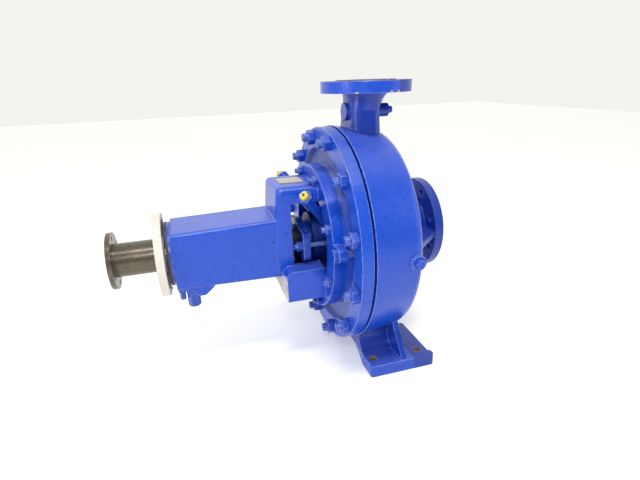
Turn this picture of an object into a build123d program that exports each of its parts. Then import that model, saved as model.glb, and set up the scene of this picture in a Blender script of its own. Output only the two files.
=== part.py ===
from build123d import *
from math import atan2, cos, exp, log, radians, sin
import os

os.makedirs("parts", exist_ok=True)

# End-suction centrifugal pump, millimetres.
# The shaft lies along X: the coupling is at -X and the suction flange at +X.
# The origin is the middle of the four foot bolts, on the underside of the feet.

# Main layout
shaft_height = 280.0
discharge_height = 344.0
suction_reach = 154.0
nozzle_x = -4.0
casing_reach = 77.0
coupling_reach = 578.5

# Fits
seat_gap = 0.05
running_gap = 0.08
wear_gap = 0.3
bolt_gap = 1.0
thread_gap = 0.05

# Nozzle flanges, 80 mm discharge and 100 mm suction
discharge_bore_radius = 40.0
discharge_flange_radius = 100.0
discharge_flange_thickness = 24.0
discharge_bolt_circle = 160.0
suction_bore_radius = 50.0
suction_flange_radius = 110.0
suction_flange_thickness = 21.0
suction_bolt_circle = 180.0
flange_bolt_count = 8
flange_hole_radius = 9.0
raised_face_height = 2.0
discharge_raised_radius = 66.0
suction_raised_radius = 78.0

# Volute casing
casing_radius = 250.0
casing_rear_radius = 234.0
casing_depth = 112.0
casing_corner = 22.0
suction_wall = 13.0
rim_bore_radius = 212.0
rim_bore_depth = 15.0
opening_radius = 198.0
ledge_thickness = 14.0
volute_start_radius = 200.0
volute_end_radius = 222.0
tongue_angle = 14.0
neck_radius = 53.0
neck_foot_width = 68.0
neck_foot_depth = 112.0
neck_foot_corner = 20.0
neck_foot_height = 216.0
neck_foot_offset_x = -12.0
neck_foot_offset_y = 6.0
neck_waist_height = 282.0
neck_waist_width = 66.0
neck_waist_depth = 94.0
neck_waist_offset_y = 2.0
neck_wall = 8.0
neck_flare_height = 304.0
neck_flare_width = 82.0
neck_flare_depth = 98.0
neck_flare_corner = 38.0
neck_flare_offset_x = -6.0
throat_width = 50.0
throat_depth = 88.0
throat_corner = 16.0
throat_height = 196.0
gauge_boss_height = 278.0
gauge_boss_drive_radius = 19.0
gauge_boss_suction_radius = 15.0
gauge_boss_drive_reach = 52.5
gauge_boss_suction_reach = 52.0
gauge_plug_radius = 7.5
gauge_plug_depth = 8.0
gauge_plug_head = 11.0
suction_neck_radius = 64.0
suction_cone_radius = 94.0
suction_cone_length = 34.0
suction_rib_thickness = 12.0
side_boss_radius = 16.0
side_boss_rise = 7.0
side_boss_x = 12.0
drain_boss_radius = 16.0
drain_boss_rise = 10.0
drain_boss_x = -36.0
pipe_plug_radius = 9.0
pipe_plug_depth = 12.0
pipe_plug_head_flats = 17.0
pipe_plug_head_height = 8.0
wear_seat_radius = 70.0
wear_boss_radius = 86.0
wear_boss_depth = 12.0

# Casing feet
foot_span = 410.0
foot_width = 148.0
foot_thickness = 28.0
foot_corner = 6.0
foot_drive_reach = 71.0
foot_suction_reach = 77.0
foot_waist_reach = 53.0
foot_straight = 55.0
toe_width = 18.0
toe_suction_reach = 84.0
foot_bolt_spacing_x = 110.0
foot_bolt_spacing_y = 350.0
foot_hole_radius = 9.0
web_thickness = 14.0
web_x = 3.0
web_foot_half = 204.0
web_top_half = 146.0
web_top_drop = 178.0
web_inner_half = 120.0
saddle_inset = 11.0
saddle_length = 90.0
saddle_outer = 150.0
saddle_top = 124.0
saddle_rise = 44.0
saddle_hollow = 6.0
saddle_crown = 18.0

# Casing cover with the stuffing box
rim_groove = 5.0
cover_flange_thickness = 25.0
cover_radius = 248.0
cover_recess_depth = 16.0
cover_recess_radius = 206.0
register_radius = 166.0
register_bore_radius = 128.0
register_height = 19.0
spigot_gap = 0.2
gasket_thickness = 2.0
gasket_width = 13.0
cover_nose_length = 12.0
cover_wall = 22.0
wet_pocket_depth = 14.0
wet_pocket_inner = 84.0
wet_pocket_outer = 184.0
box_radius = 56.0
box_reach = 72.0
packing_size = 10.0
packing_gap = 0.1
inner_packing_count = 3
outer_packing_count = 2
lantern_ring_width = 18.0
lantern_hole_radius = 2.5
throat_bush_wall = 6.0
throat_bush_gap = 1.5
bush_gap = 0.4
cover_bolt_circle = 456.0
cover_bolt_count = 12
cover_bolt_first_angle = 15.0
cover_stud_radius = 10.0
cover_stud_grip = 24.0
cover_stud_tail = 27.0
cover_nut_flats = 30.0
cover_nut_height = 16.0

# Bearing frame: housing, lantern and adapter ring in one casting
housing_width = 132.0
housing_height_drive = 124.0
housing_height_lantern = 136.0
housing_corner = 8.0
housing_length = 222.0
lantern_length = 93.0
lantern_half_width = 68.0
lantern_foot_half_width = 106.0
lantern_foot_top_drop = 42.0
lantern_top_height = 136.0
lantern_top_corner = 16.0
lantern_end_corner = 10.0
lantern_lean = 5.0
lantern_foot_inset = 6.0
lantern_foot_drop = 112.0
lantern_foot_corner = 15.0
lantern_wall = 10.0
lantern_end_wall = 26.0
lantern_cavity_top = 121.0
lantern_cavity_bottom = 100.0
window_margin = 31.0
window_top = 100.0
window_corner = 5.0
ring_radius = 168.0
ring_thickness = 27.0
ring_bore_radius = 122.0
ring_lip = 5.0
ring_bolt_circle = 312.0
ring_bolt_count = 8
ring_bolt_first_angle = 22.5
ring_stud_radius = 6.0
ring_stud_grip = 20.0
ring_stud_tail = 18.0
ring_nut_pocket = 12.0
ring_nut_flats = 19.0
ring_nut_height = 10.0
jack_reach = 188.0
jack_rise = 18.0
jack_lug_radius = 15.0
jack_lug_thickness = 19.0
jack_screw_radius = 8.0
jack_head_flats = 24.0
jack_head_height = 10.0
chamber_length = 122.0
chamber_width = 108.0
chamber_height = 98.0
chamber_corner = 12.0
sump_depth = 22.0
sump_length = 71.0
sump_half_width = 60.0
oil_boss_depth = 22.0
oil_boss_radius = 14.5
oil_plug_offset = 31.0
oil_plug_radius = 9.0
oil_plug_depth = 12.0
oil_plug_flats = 24.0
oil_plug_head = 30.0
small_boss_depth = 16.0
small_boss_radius = 8.5
small_plug_offset = 8.5
small_plug_radius = 4.0
small_plug_depth = 9.0
small_plug_flats = 11.0
small_plug_head = 18.0
plug_y = -36.0
sump_pocket_length = 18.0
sump_pocket_width = 84.0
sump_pocket_depth = 12.0
duct_radius = 4.0
plate_length = 54.0
plate_width = 49.0
plate_inset = 19.0
plate_thickness = 1.5

# Bearings
bearing_radius = 50.0
bearing_bore_radius = 22.5
bearing_width = 25.0
inboard_bearing_inset = 28.0
bearing_shoulder_radius = 42.0
race_depth = 8.5
bearing_pitch_radius = 36.25
ball_radius = 8.7
ball_count = 8
roller_radius = 7.0
roller_length = 14.0
roller_count = 12
cage_half_thickness = 2.2
ball_cage_width = 22.0
roller_cage_width = 20.0

# Bearing covers and seals
cover_plate_thickness = 10.0
cover_plate_radius = 70.0
inboard_plate_radius = 64.0
inboard_plate_thickness = 8.0
inboard_plate_room = 0.6
bearing_spigot_wall = 9.0
cover_screw_circle = 112.0
cover_screw_count = 4
cover_screw_radius = 4.0
cover_screw_grip = 12.0
cover_screw_flats = 13.0
cover_screw_head = 5.5
seal_radius = 31.0
seal_width = 8.0

# Shaft
coupling_seat_radius = 19.0
shaft_end_recess = 4.5
seal_seat_radius = 21.0
mid_shaft_radius = 27.0
sleeve_seat_radius = 20.0
sleeve_radius = 27.5
sleeve_length = 138.0
impeller_seat_radius = 16.0
impeller_thread_radius = 12.0
lock_nut_radius = 31.0
lock_nut_width = 9.0
lock_washer_thickness = 1.5
slinger_radius = 46.0
slinger_width = 7.0
slinger_inset = 2.0

# Coupling hub and deflector disc
hub_flange_radius = 61.0
hub_flange_thickness = 9.5
hub_tube_radius = 36.3
hub_length = 94.0
hub_bolt_circle = 100.0
hub_bolt_count = 6
hub_hole_radius = 4.5
coupling_key_width = 10.0
coupling_key_height = 8.0
coupling_key_length = 70.0
set_screw_radius = 4.0
set_screw_length = 12.0
disc_radius = 90.5
disc_thickness = 16.5
disc_rim_width = 14.0
disc_web = 7.0
disc_hub_radius = 38.0
disc_screw_radius = 3.5
disc_screw_head = 2.5
disc_gap = 5.0

# Impeller
impeller_radius = 185.0
impeller_centre_x = -17.0
outlet_width = 22.0
shroud_thickness = 5.0
impeller_neck_radius = 62.0
eye_radius = 54.0
back_neck_length = 17.0
front_neck_length = 21.0
impeller_hub_radius = 28.0
hub_nose_radius = 23.0
vane_count = 6
vane_inlet_radius = 62.0
shroud_blend = 38.0
vane_thickness = 6.0
vane_wrap = 115.0
vane_steps = 8
balance_hole_radius = 4.0
balance_hole_circle = 88.0
balance_hole_count = 6
impeller_key_width = 10.0
impeller_key_height = 8.0
impeller_key_length = 40.0
impeller_nut_flats = 36.0
impeller_nut_width = 14.0
wear_ring_width = 16.0
wear_ring_sink = 6.0

# Gland
gland_gap = 15.0
gland_thickness = 16.0
gland_radius = 48.0
gland_plate_height = 66.0
gland_plate_corner = 10.0
gland_ear_radius = 15.0
gland_stud_reach = 64.0
gland_stud_radius = 6.0
gland_stud_tail = 5.0
gland_stud_grip = 16.0
gland_nose_length = 19.0
gland_bore_gap = 0.8
gland_nut_flats = 19.0
gland_nut_height = 13.0
gland_boss_radius = 13.0
gland_boss_height = 22.0

# Sealing-water nipples
port_x = -114.0
port_y = 40.0
port_z = 36.7
nipple_end_x = -183.0
nipple_end_y = 115.0
nipple_end_z = 126.0
nipple_radius = 10.6
nipple_bore_radius = 8.0
nipple_grip = 10.0
port_boss_radius = 16.0
port_boss_height = 9.0
nipple_hex_flats = 27.0
nipple_hex_length = 16.0
nipple_cap_head_radius = 8.5
nipple_cap_length = 11.0
nipple_cap_plug = 10.0

# Stations along the shaft that follow from the sizes above
suction_face_x = nozzle_x + suction_reach
rim_x = nozzle_x - casing_reach
wall_x = rim_x + casing_depth
cavity_end_x = wall_x - suction_wall
ledge_x = rim_x + rim_bore_depth
cavity_start_x = ledge_x + ledge_thickness
cover_back_x = rim_x - rim_groove
cover_face_x = cover_back_x - cover_flange_thickness
recess_x = cover_face_x + cover_recess_depth
register_x = recess_x - register_height
spigot_x = ledge_x - gasket_thickness
wet_x = spigot_x + cover_nose_length
cover_inner_x = wet_x - cover_wall
box_x = cover_inner_x - box_reach
packing_radius = sleeve_radius + packing_size
packing_start_x = cover_inner_x + 2.0
ring_face_x = register_x - ring_thickness
lantern_x = ring_face_x - lantern_length
housing_x = lantern_x - housing_length
lantern_wall_x = lantern_x + lantern_end_wall
window_x = lantern_x + window_margin
lantern_foot_x = lantern_x + lantern_foot_inset
hub_face_x = nozzle_x - coupling_reach
shaft_end_x = hub_face_x + shaft_end_recess
outboard_plate_x = housing_x - cover_plate_thickness
disc_x = outboard_plate_x - disc_gap
outboard_bearing_x = housing_x + 15.0
inboard_bearing_x = lantern_x - inboard_bearing_inset
impeller_back_x = impeller_centre_x - outlet_width / 2 - shroud_thickness
impeller_front_x = impeller_centre_x + outlet_width / 2 + shroud_thickness
hub_back_x = wet_x - 2.0
nut_seat_x = impeller_front_x - 3.0

housing_base_z = shaft_height - housing_height_drive / 2
oil_boss_z = housing_base_z - oil_boss_depth
small_boss_z = housing_base_z - small_boss_depth
oil_plug_x = housing_x + oil_plug_offset
small_plug_x = housing_x + small_plug_offset



def casing_surface(x):
    """Radius of the casing's tapered outside at station x."""
    return casing_radius - (casing_radius - casing_rear_radius) * (x - rim_x) / casing_depth


side_boss_reach = casing_surface(side_boss_x) + side_boss_rise
drain_boss_reach = casing_surface(drain_boss_x) + drain_boss_rise
shaft_axis = Axis((0, 0, shaft_height), (1, 0, 0))
profile_plane = Plane(origin=(0, 0, shaft_height), x_dir=(1, 0, 0), z_dir=(0, -1, 0))


def across(x):
    """Plane square to the shaft at station x, with Y to the right and Z up."""
    return Plane(origin=(x, 0, shaft_height), x_dir=(0, 1, 0), z_dir=(1, 0, 0))


def turn(*points, mode=Mode.ADD):
    """Revolve an outline of (station, radius) points about the shaft axis."""
    with BuildSketch(profile_plane) as outline:
        with BuildLine():
            Polyline(*points, close=True)
        make_face()
    revolve(outline.sketch, axis=shaft_axis, mode=mode)


def turn_ring(x_start, x_end, inner, outer, mode=Mode.ADD):
    """Revolve a plain ring between two stations and two radii."""
    turn((x_start, inner), (x_start, outer), (x_end, outer), (x_end, inner), mode=mode)


def bolt_rods(x_start, x_end, circle, count, first_angle, radius, mode=Mode.ADD):
    """A circle of round rods or holes parallel to the shaft."""
    with BuildSketch(across(x_start)) as outline:
        with PolarLocations(circle / 2, count, start_angle=90 - first_angle):
            Circle(radius)
    extrude(outline.sketch, amount=x_end - x_start, mode=mode)


def bolt_hexes(x_start, x_end, circle, count, first_angle, flats):
    """A circle of hexagons parallel to the shaft, such as nuts or screw heads."""
    with BuildSketch(across(x_start)) as outline:
        with PolarLocations(circle / 2, count, start_angle=90 - first_angle):
            RegularPolygon(flats / 2, 6, major_radius=False)
    extrude(outline.sketch, amount=x_end - x_start)


def pair_rods(x_start, x_end, reach, rise, radius, mode=Mode.ADD):
    """Two rods or holes parallel to the shaft, one each side of it."""
    with BuildSketch(across(x_start)) as outline:
        with Locations((-reach, rise), (reach, rise)):
            Circle(radius)
    extrude(outline.sketch, amount=x_end - x_start, mode=mode)


def pair_hexes(x_start, x_end, reach, rise, flats):
    """Two hexagons parallel to the shaft, one each side of it."""
    with BuildSketch(across(x_start)) as outline:
        with Locations((-reach, rise), (reach, rise)):
            RegularPolygon(flats / 2, 6, major_radius=False)
    extrude(outline.sketch, amount=x_end - x_start)


def spiral_point(angle):
    """Point on the volute wall, its angle counted from the top towards -Y."""
    share = (angle - tongue_angle) / 360
    radius = volute_start_radius + (volute_end_radius - volute_start_radius) * share
    return (-radius * sin(radians(angle)), radius * cos(radians(angle)))


def neck_section(height, offset_x, offset_y, width, depth, corner):
    """Level section through the discharge neck, its height counted from the shaft."""
    with BuildSketch(Plane.XY.offset(shaft_height + height)) as section:
        with Locations((nozzle_x + offset_x, offset_y)):
            RectangleRounded(width, depth, corner)
    return section.sketch


# Volute casing: a cast shell with the spiral water passage, both nozzles and the feet
neck_top = shaft_height + discharge_height - raised_face_height - discharge_flange_thickness
discharge_rim_top = shaft_height + discharge_height - raised_face_height
suction_flange_x = suction_face_x - raised_face_height - suction_flange_thickness
spiral_steps = 16
with BuildPart() as volute_casing:
    with BuildSketch(profile_plane) as casing_profile:
        with BuildLine():
            Polyline(
                (rim_x, 0),
                (rim_x, casing_radius),
                (wall_x, casing_rear_radius),
                (wall_x, 0),
                close=True,
            )
        make_face()
        fillet(casing_profile.vertices().sort_by(Axis.Y)[2:3], casing_corner)
    revolve(axis=shaft_axis)
    turn(
        (cavity_end_x, 0),
        (cavity_end_x, suction_cone_radius),
        (wall_x, suction_cone_radius),
        (wall_x + suction_cone_length, suction_neck_radius),
        (suction_flange_x, suction_neck_radius),
        (suction_flange_x, suction_flange_radius),
        (suction_face_x - raised_face_height, suction_flange_radius),
        (suction_face_x - raised_face_height, suction_raised_radius),
        (suction_face_x, suction_raised_radius),
        (suction_face_x, 0),
    )
    # Horizontal gussets between the back of the casing and the suction flange
    with BuildSketch(Plane.XY.offset(shaft_height - suction_rib_thickness / 2)):
        with BuildLine():
            Polyline(
                (cavity_end_x, -casing_rear_radius + casing_corner * 2),
                (wall_x, -casing_rear_radius + casing_corner * 2),
                (suction_flange_x, -suction_flange_radius + 4),
                (suction_flange_x, suction_flange_radius - 4),
                (wall_x, casing_rear_radius - casing_corner * 2),
                (cavity_end_x, casing_rear_radius - casing_corner * 2),
                close=True,
            )
        make_face()
    extrude(amount=suction_rib_thickness)
    # Discharge neck, leaning from the volute, then opening in a hollow flare to the flange
    waist = neck_section(
        neck_waist_height,
        neck_foot_offset_x,
        neck_waist_offset_y,
        neck_waist_width,
        neck_waist_depth,
        neck_foot_corner,
    )
    loft(
        [
            neck_section(
                neck_foot_height,
                neck_foot_offset_x,
                neck_foot_offset_y,
                neck_foot_width,
                neck_foot_depth,
                neck_foot_corner,
            ),
            waist,
        ]
    )
    loft(
        [
            waist,
            neck_section(
                neck_flare_height,
                neck_flare_offset_x,
                0,
                neck_flare_width,
                neck_flare_depth,
                neck_flare_corner,
            ),
            neck_section(
                neck_top - shaft_height + 1,
                0,
                0,
                neck_radius * 2,
                neck_radius * 2,
                neck_radius - 0.5,
            ),
        ]
    )
    with BuildSketch(Plane.XY.offset(neck_top)):
        with Locations((nozzle_x, 0)):
            Circle(discharge_flange_radius)
    extrude(amount=discharge_flange_thickness)
    with BuildSketch(Plane.XY.offset(discharge_rim_top)):
        with Locations((nozzle_x, 0)):
            Circle(discharge_raised_radius)
    extrude(amount=raised_face_height)
    # Gauge bosses on the neck, the larger one on the drive side
    with BuildSketch(Plane.YZ.offset(nozzle_x - gauge_boss_drive_reach)):
        with Locations((0, shaft_height + gauge_boss_height)):
            Circle(gauge_boss_drive_radius)
    extrude(amount=gauge_boss_drive_reach)
    with BuildSketch(Plane.YZ.offset(nozzle_x)):
        with Locations((0, shaft_height + gauge_boss_height)):
            Circle(gauge_boss_suction_radius)
    extrude(amount=gauge_boss_suction_reach)
    # Plug bosses at the near side and at the lowest point
    with BuildSketch(Plane.XZ.offset(volute_start_radius)):
        with Locations((side_boss_x, shaft_height)):
            Circle(side_boss_radius)
    extrude(amount=side_boss_reach - volute_start_radius)
    with BuildSketch(Plane.XY.offset(shaft_height - drain_boss_reach)):
        with Locations((drain_boss_x, 0)):
            Circle(drain_boss_radius)
    extrude(amount=drain_boss_reach - volute_start_radius)
    # Feet: pads with a toe, the saddles that carry the casing and one web each
    for side in (-1, 1):
        with BuildSketch() as pad:
            with BuildLine():
                Polyline(
                    (-foot_drive_reach, side * foot_span / 2),
                    (foot_suction_reach, side * foot_span / 2),
                    (foot_suction_reach, side * (foot_span / 2 - foot_width)),
                    (-foot_waist_reach, side * (foot_span / 2 - foot_width)),
                    (-foot_drive_reach, side * (foot_span / 2 - foot_straight)),
                    close=True,
                )
            make_face()
            fillet(pad.vertices(), foot_corner)
            toe_middle = (toe_suction_reach - foot_drive_reach) / 2
            with Locations((toe_middle, side * (foot_span - toe_width) / 2)):
                RectangleRounded(toe_suction_reach + foot_drive_reach, toe_width, foot_corner)
        extrude(amount=foot_thickness)
        pad_top = foot_thickness - shaft_height
        saddle_middle = (saddle_outer + saddle_top) / 2 - saddle_hollow
        with BuildSketch(across(rim_x + saddle_inset)):
            with BuildLine():
                ThreePointArc(
                    (side * saddle_outer, pad_top - 1),
                    (side * saddle_middle, pad_top + saddle_rise / 2 - saddle_hollow),
                    (side * saddle_top, pad_top + saddle_rise),
                )
                Polyline(
                    (side * saddle_top, pad_top + saddle_rise),
                    (side * (saddle_top - saddle_hollow), pad_top + saddle_rise + saddle_crown),
                    (side * (foot_span / 2 - foot_width), pad_top + saddle_rise),
                    (side * (foot_span / 2 - foot_width), pad_top - 1),
                    (side * saddle_outer, pad_top - 1),
                )
            make_face()
        extrude(amount=saddle_length)
        with BuildSketch(across(web_x)):
            with BuildLine():
                Polyline(
                    (side * web_foot_half, pad_top - 1),
                    (side * web_top_half, -web_top_drop),
                    (side * web_inner_half, -web_top_drop),
                    (side * web_inner_half, pad_top - 1),
                    close=True,
                )
            make_face()
        extrude(amount=web_thickness)
    # Water passage: opening, ledge for the gasket, spiral, throat, eye and suction bore
    turn_ring(rim_x - 1, ledge_x, 0, rim_bore_radius, mode=Mode.SUBTRACT)
    turn_ring(ledge_x - 1, cavity_start_x + 1, 0, opening_radius, mode=Mode.SUBTRACT)
    with BuildSketch(across(cavity_start_x)):
        with BuildLine():
            steps = range(spiral_steps + 1)
            spiral = Spline(*[spiral_point(tongue_angle + 360 * step / spiral_steps) for step in steps])
            Line(spiral @ 1, spiral @ 0)
        make_face()
    extrude(amount=cavity_end_x - cavity_start_x, mode=Mode.SUBTRACT)
    waist_bore = neck_section(
        neck_waist_height,
        neck_foot_offset_x,
        neck_waist_offset_y,
        neck_waist_width - neck_wall * 2,
        neck_waist_depth - neck_wall * 2,
        throat_corner,
    )
    loft(
        [
            neck_section(
                throat_height,
                neck_foot_offset_x,
                neck_foot_offset_y,
                throat_width,
                throat_depth,
                throat_corner,
            ),
            waist_bore,
        ],
        mode=Mode.SUBTRACT,
    )
    loft(
        [
            waist_bore,
            neck_section(
                neck_flare_height,
                neck_flare_offset_x,
                0,
                neck_flare_width - neck_wall * 2,
                neck_flare_depth - neck_wall * 2,
                neck_flare_corner - neck_wall,
            ),
            neck_section(
                discharge_height + 1,
                0,
                0,
                discharge_bore_radius * 2,
                discharge_bore_radius * 2,
                discharge_bore_radius - 0.5,
            ),
        ],
        mode=Mode.SUBTRACT,
    )
    turn_ring(cavity_end_x - wear_boss_depth, cavity_end_x + 1, 0, wear_boss_radius)
    turn_ring(
        cavity_end_x - wear_boss_depth - 1,
        cavity_end_x - wear_boss_depth + wear_ring_width,
        0,
        wear_seat_radius + seat_gap,
        mode=Mode.SUBTRACT,
    )
    turn_ring(cavity_end_x - 1, suction_face_x + 1, 0, suction_bore_radius, mode=Mode.SUBTRACT)
    # Bolt, stud and plug holes
    bolt_rods(
        suction_flange_x - 1,
        suction_face_x + 1,
        suction_bolt_circle,
        flange_bolt_count,
        180 / flange_bolt_count,
        flange_hole_radius,
        mode=Mode.SUBTRACT,
    )
    with BuildSketch(Plane.XY.offset(neck_top - 1)):
        with Locations((nozzle_x, 0)):
            with PolarLocations(
                discharge_bolt_circle / 2,
                flange_bolt_count,
                start_angle=180 / flange_bolt_count,
            ):
                Circle(flange_hole_radius)
    extrude(amount=discharge_flange_thickness + 2, mode=Mode.SUBTRACT)
    bolt_rods(
        rim_x - 1,
        rim_x + cover_stud_grip,
        cover_bolt_circle,
        cover_bolt_count,
        cover_bolt_first_angle,
        cover_stud_radius + thread_gap,
        mode=Mode.SUBTRACT,
    )
    with BuildSketch():
        with GridLocations(foot_bolt_spacing_x, foot_bolt_spacing_y, 2, 2):
            Circle(foot_hole_radius)
    extrude(amount=foot_thickness + 1, mode=Mode.SUBTRACT)
    with BuildSketch(Plane.YZ.offset(nozzle_x - gauge_boss_drive_reach)):
        with Locations((0, shaft_height + gauge_boss_height)):
            Circle(gauge_plug_radius + thread_gap)
    extrude(amount=gauge_plug_depth, mode=Mode.SUBTRACT)
    with BuildSketch(Plane.YZ.offset(nozzle_x + gauge_boss_suction_reach - gauge_plug_depth)):
        with Locations((0, shaft_height + gauge_boss_height)):
            Circle(gauge_plug_radius + thread_gap)
    extrude(amount=gauge_plug_depth + 1, mode=Mode.SUBTRACT)
    with BuildSketch(Plane.XZ.offset(side_boss_reach - pipe_plug_depth)):
        with Locations((side_boss_x, shaft_height)):
            Circle(pipe_plug_radius + thread_gap)
    extrude(amount=pipe_plug_depth + 1, mode=Mode.SUBTRACT)
    with BuildSketch(Plane.XY.offset(shaft_height - drain_boss_reach - 1)):
        with Locations((drain_boss_x, 0)):
            Circle(pipe_plug_radius + thread_gap)
    extrude(amount=pipe_plug_depth + 1, mode=Mode.SUBTRACT)
volute_casing.part.label = "volute_casing"
export_step(volute_casing.part, "parts/volute_casing.step")

# Casing cover: dished disc whose nose enters the casing, with the stuffing box in its middle
nipple_run = Vector(nipple_end_x - port_x, nipple_end_y - port_y, nipple_end_z - port_z)
nipple_length = nipple_run.length


def nipple_plane(side, distance):
    """Plane square to a sealing-water nipple, a distance along it from its port."""
    run = Vector(nipple_run.X, side * nipple_run.Y, nipple_run.Z).normalized()
    start = Vector(port_x, side * port_y, shaft_height + port_z)
    return Plane(origin=start + run * distance, z_dir=run)


def nipple_rod(side, start, end, radius, mode=Mode.ADD):
    """Round rod or hole along a nipple's axis."""
    with BuildSketch(nipple_plane(side, start)) as outline:
        Circle(radius)
    extrude(outline.sketch, amount=end - start, mode=mode)


with BuildPart() as casing_cover:
    turn(
        (box_x, 0),
        (box_x, box_radius),
        (cover_inner_x, box_radius),
        (cover_inner_x, register_bore_radius),
        (register_x, register_bore_radius),
        (register_x, register_radius),
        (recess_x, register_radius + 2),
        (recess_x, cover_recess_radius - 4),
        (cover_face_x, cover_recess_radius),
        (cover_face_x, cover_radius),
        (cover_back_x, cover_radius),
        (cover_back_x, rim_bore_radius - spigot_gap),
        (spigot_x, rim_bore_radius - spigot_gap),
        (spigot_x, opening_radius - spigot_gap),
        (wet_x, opening_radius - spigot_gap),
        (wet_x, 0),
    )
    pair_rods(cover_inner_x - gland_boss_height, wet_x - 8, gland_stud_reach, 0, gland_boss_radius)
    for side in (-1, 1):
        nipple_rod(side, -14, port_boss_height, port_boss_radius)
    turn_ring(box_x - 1, packing_start_x, 0, packing_radius + seat_gap, mode=Mode.SUBTRACT)
    turn_ring(
        packing_start_x - 1,
        wet_x + 1,
        0,
        sleeve_radius + throat_bush_wall + seat_gap,
        mode=Mode.SUBTRACT,
    )
    turn(
        (wet_x + 1, wet_pocket_inner),
        (wet_x - wet_pocket_depth, wet_pocket_inner + wet_pocket_depth),
        (wet_x - wet_pocket_depth, wet_pocket_outer - wet_pocket_depth),
        (wet_x + 1, wet_pocket_outer),
        mode=Mode.SUBTRACT,
    )
    turn_ring(
        wet_x - 6,
        wet_x + 1,
        impeller_neck_radius - 2,
        wear_seat_radius + seat_gap,
        mode=Mode.SUBTRACT,
    )
    pair_rods(
        cover_inner_x - gland_boss_height - 1,
        cover_inner_x - gland_boss_height + gland_stud_grip,
        gland_stud_reach,
        0,
        gland_stud_radius + thread_gap,
        mode=Mode.SUBTRACT,
    )
    for side in (-1, 1):
        nipple_rod(side, -nipple_grip, port_boss_height + 1, nipple_radius + thread_gap, mode=Mode.SUBTRACT)
        nipple_rod(side, -nipple_grip - 24, -nipple_grip + 1, nipple_bore_radius / 2, mode=Mode.SUBTRACT)
    bolt_rods(
        cover_face_x - 1,
        cover_back_x + 1,
        cover_bolt_circle,
        cover_bolt_count,
        cover_bolt_first_angle,
        cover_stud_radius + bolt_gap,
        mode=Mode.SUBTRACT,
    )
    bolt_rods(
        register_x - 1,
        register_x + ring_stud_grip,
        ring_bolt_circle,
        ring_bolt_count,
        ring_bolt_first_angle,
        ring_stud_radius + thread_gap,
        mode=Mode.SUBTRACT,
    )
casing_cover.part.label = "casing_cover"
export_step(casing_cover.part, "parts/casing_cover.step")

# Flat gasket squeezed between the cover's nose and the ledge in the casing
with BuildPart() as casing_gasket:
    turn_ring(spigot_x, ledge_x, rim_bore_radius - gasket_width, rim_bore_radius - spigot_gap)
casing_gasket.part.label = "casing_gasket"
export_step(casing_gasket.part, "parts/casing_gasket.step")

# Studs in the casing rim and their nuts on the cover
with BuildPart() as casing_studs:
    bolt_rods(
        cover_face_x - cover_stud_tail,
        rim_x + cover_stud_grip,
        cover_bolt_circle,
        cover_bolt_count,
        cover_bolt_first_angle,
        cover_stud_radius,
    )
casing_studs.part.label = "casing_studs"
export_step(casing_studs.part, "parts/casing_studs.step")

with BuildPart() as casing_nuts:
    bolt_hexes(
        cover_face_x - cover_nut_height,
        cover_face_x,
        cover_bolt_circle,
        cover_bolt_count,
        cover_bolt_first_angle,
        cover_nut_flats,
    )
    bolt_rods(
        cover_face_x - cover_nut_height - 1,
        cover_face_x + 1,
        cover_bolt_circle,
        cover_bolt_count,
        cover_bolt_first_angle,
        cover_stud_radius + thread_gap,
        mode=Mode.SUBTRACT,
    )
casing_nuts.part.label = "casing_nuts"
export_step(casing_nuts.part, "parts/casing_nuts.step")

# Pipe plugs in the casing: two gauge points, the side boss and the drain
with BuildPart() as gauge_plugs:
    with BuildSketch(Plane.YZ.offset(nozzle_x - gauge_boss_drive_reach)):
        with Locations((0, shaft_height + gauge_boss_height)):
            Circle(gauge_plug_radius)
    extrude(amount=gauge_plug_depth)
    with BuildSketch(Plane.YZ.offset(nozzle_x + gauge_boss_suction_reach - gauge_plug_depth)):
        with Locations((0, shaft_height + gauge_boss_height)):
            Circle(gauge_plug_radius)
    extrude(amount=gauge_plug_depth + gauge_plug_head)
gauge_plugs.part.label = "gauge_plugs"
export_step(gauge_plugs.part, "parts/gauge_plugs.step")

with BuildPart() as side_plug:
    with BuildSketch(Plane.XZ.offset(side_boss_reach - pipe_plug_depth)):
        with Locations((side_boss_x, shaft_height)):
            Circle(pipe_plug_radius)
    extrude(amount=pipe_plug_depth)
    with BuildSketch(Plane.XZ.offset(side_boss_reach)):
        with Locations((side_boss_x, shaft_height)):
            RegularPolygon(pipe_plug_head_flats / 2, 6, major_radius=False)
    extrude(amount=pipe_plug_head_height)
side_plug.part.label = "side_plug"
export_step(side_plug.part, "parts/side_plug.step")

with BuildPart() as drain_plug:
    with BuildSketch(Plane.XY.offset(shaft_height - drain_boss_reach - pipe_plug_head_height)):
        with Locations((drain_boss_x, 0)):
            RegularPolygon(pipe_plug_head_flats / 2, 6, major_radius=False)
    extrude(amount=pipe_plug_head_height)
    with BuildSketch(Plane.XY.offset(shaft_height - drain_boss_reach)):
        with Locations((drain_boss_x, 0)):
            Circle(pipe_plug_radius)
    extrude(amount=pipe_plug_depth)
drain_plug.part.label = "drain_plug"
export_step(drain_plug.part, "parts/drain_plug.step")

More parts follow.
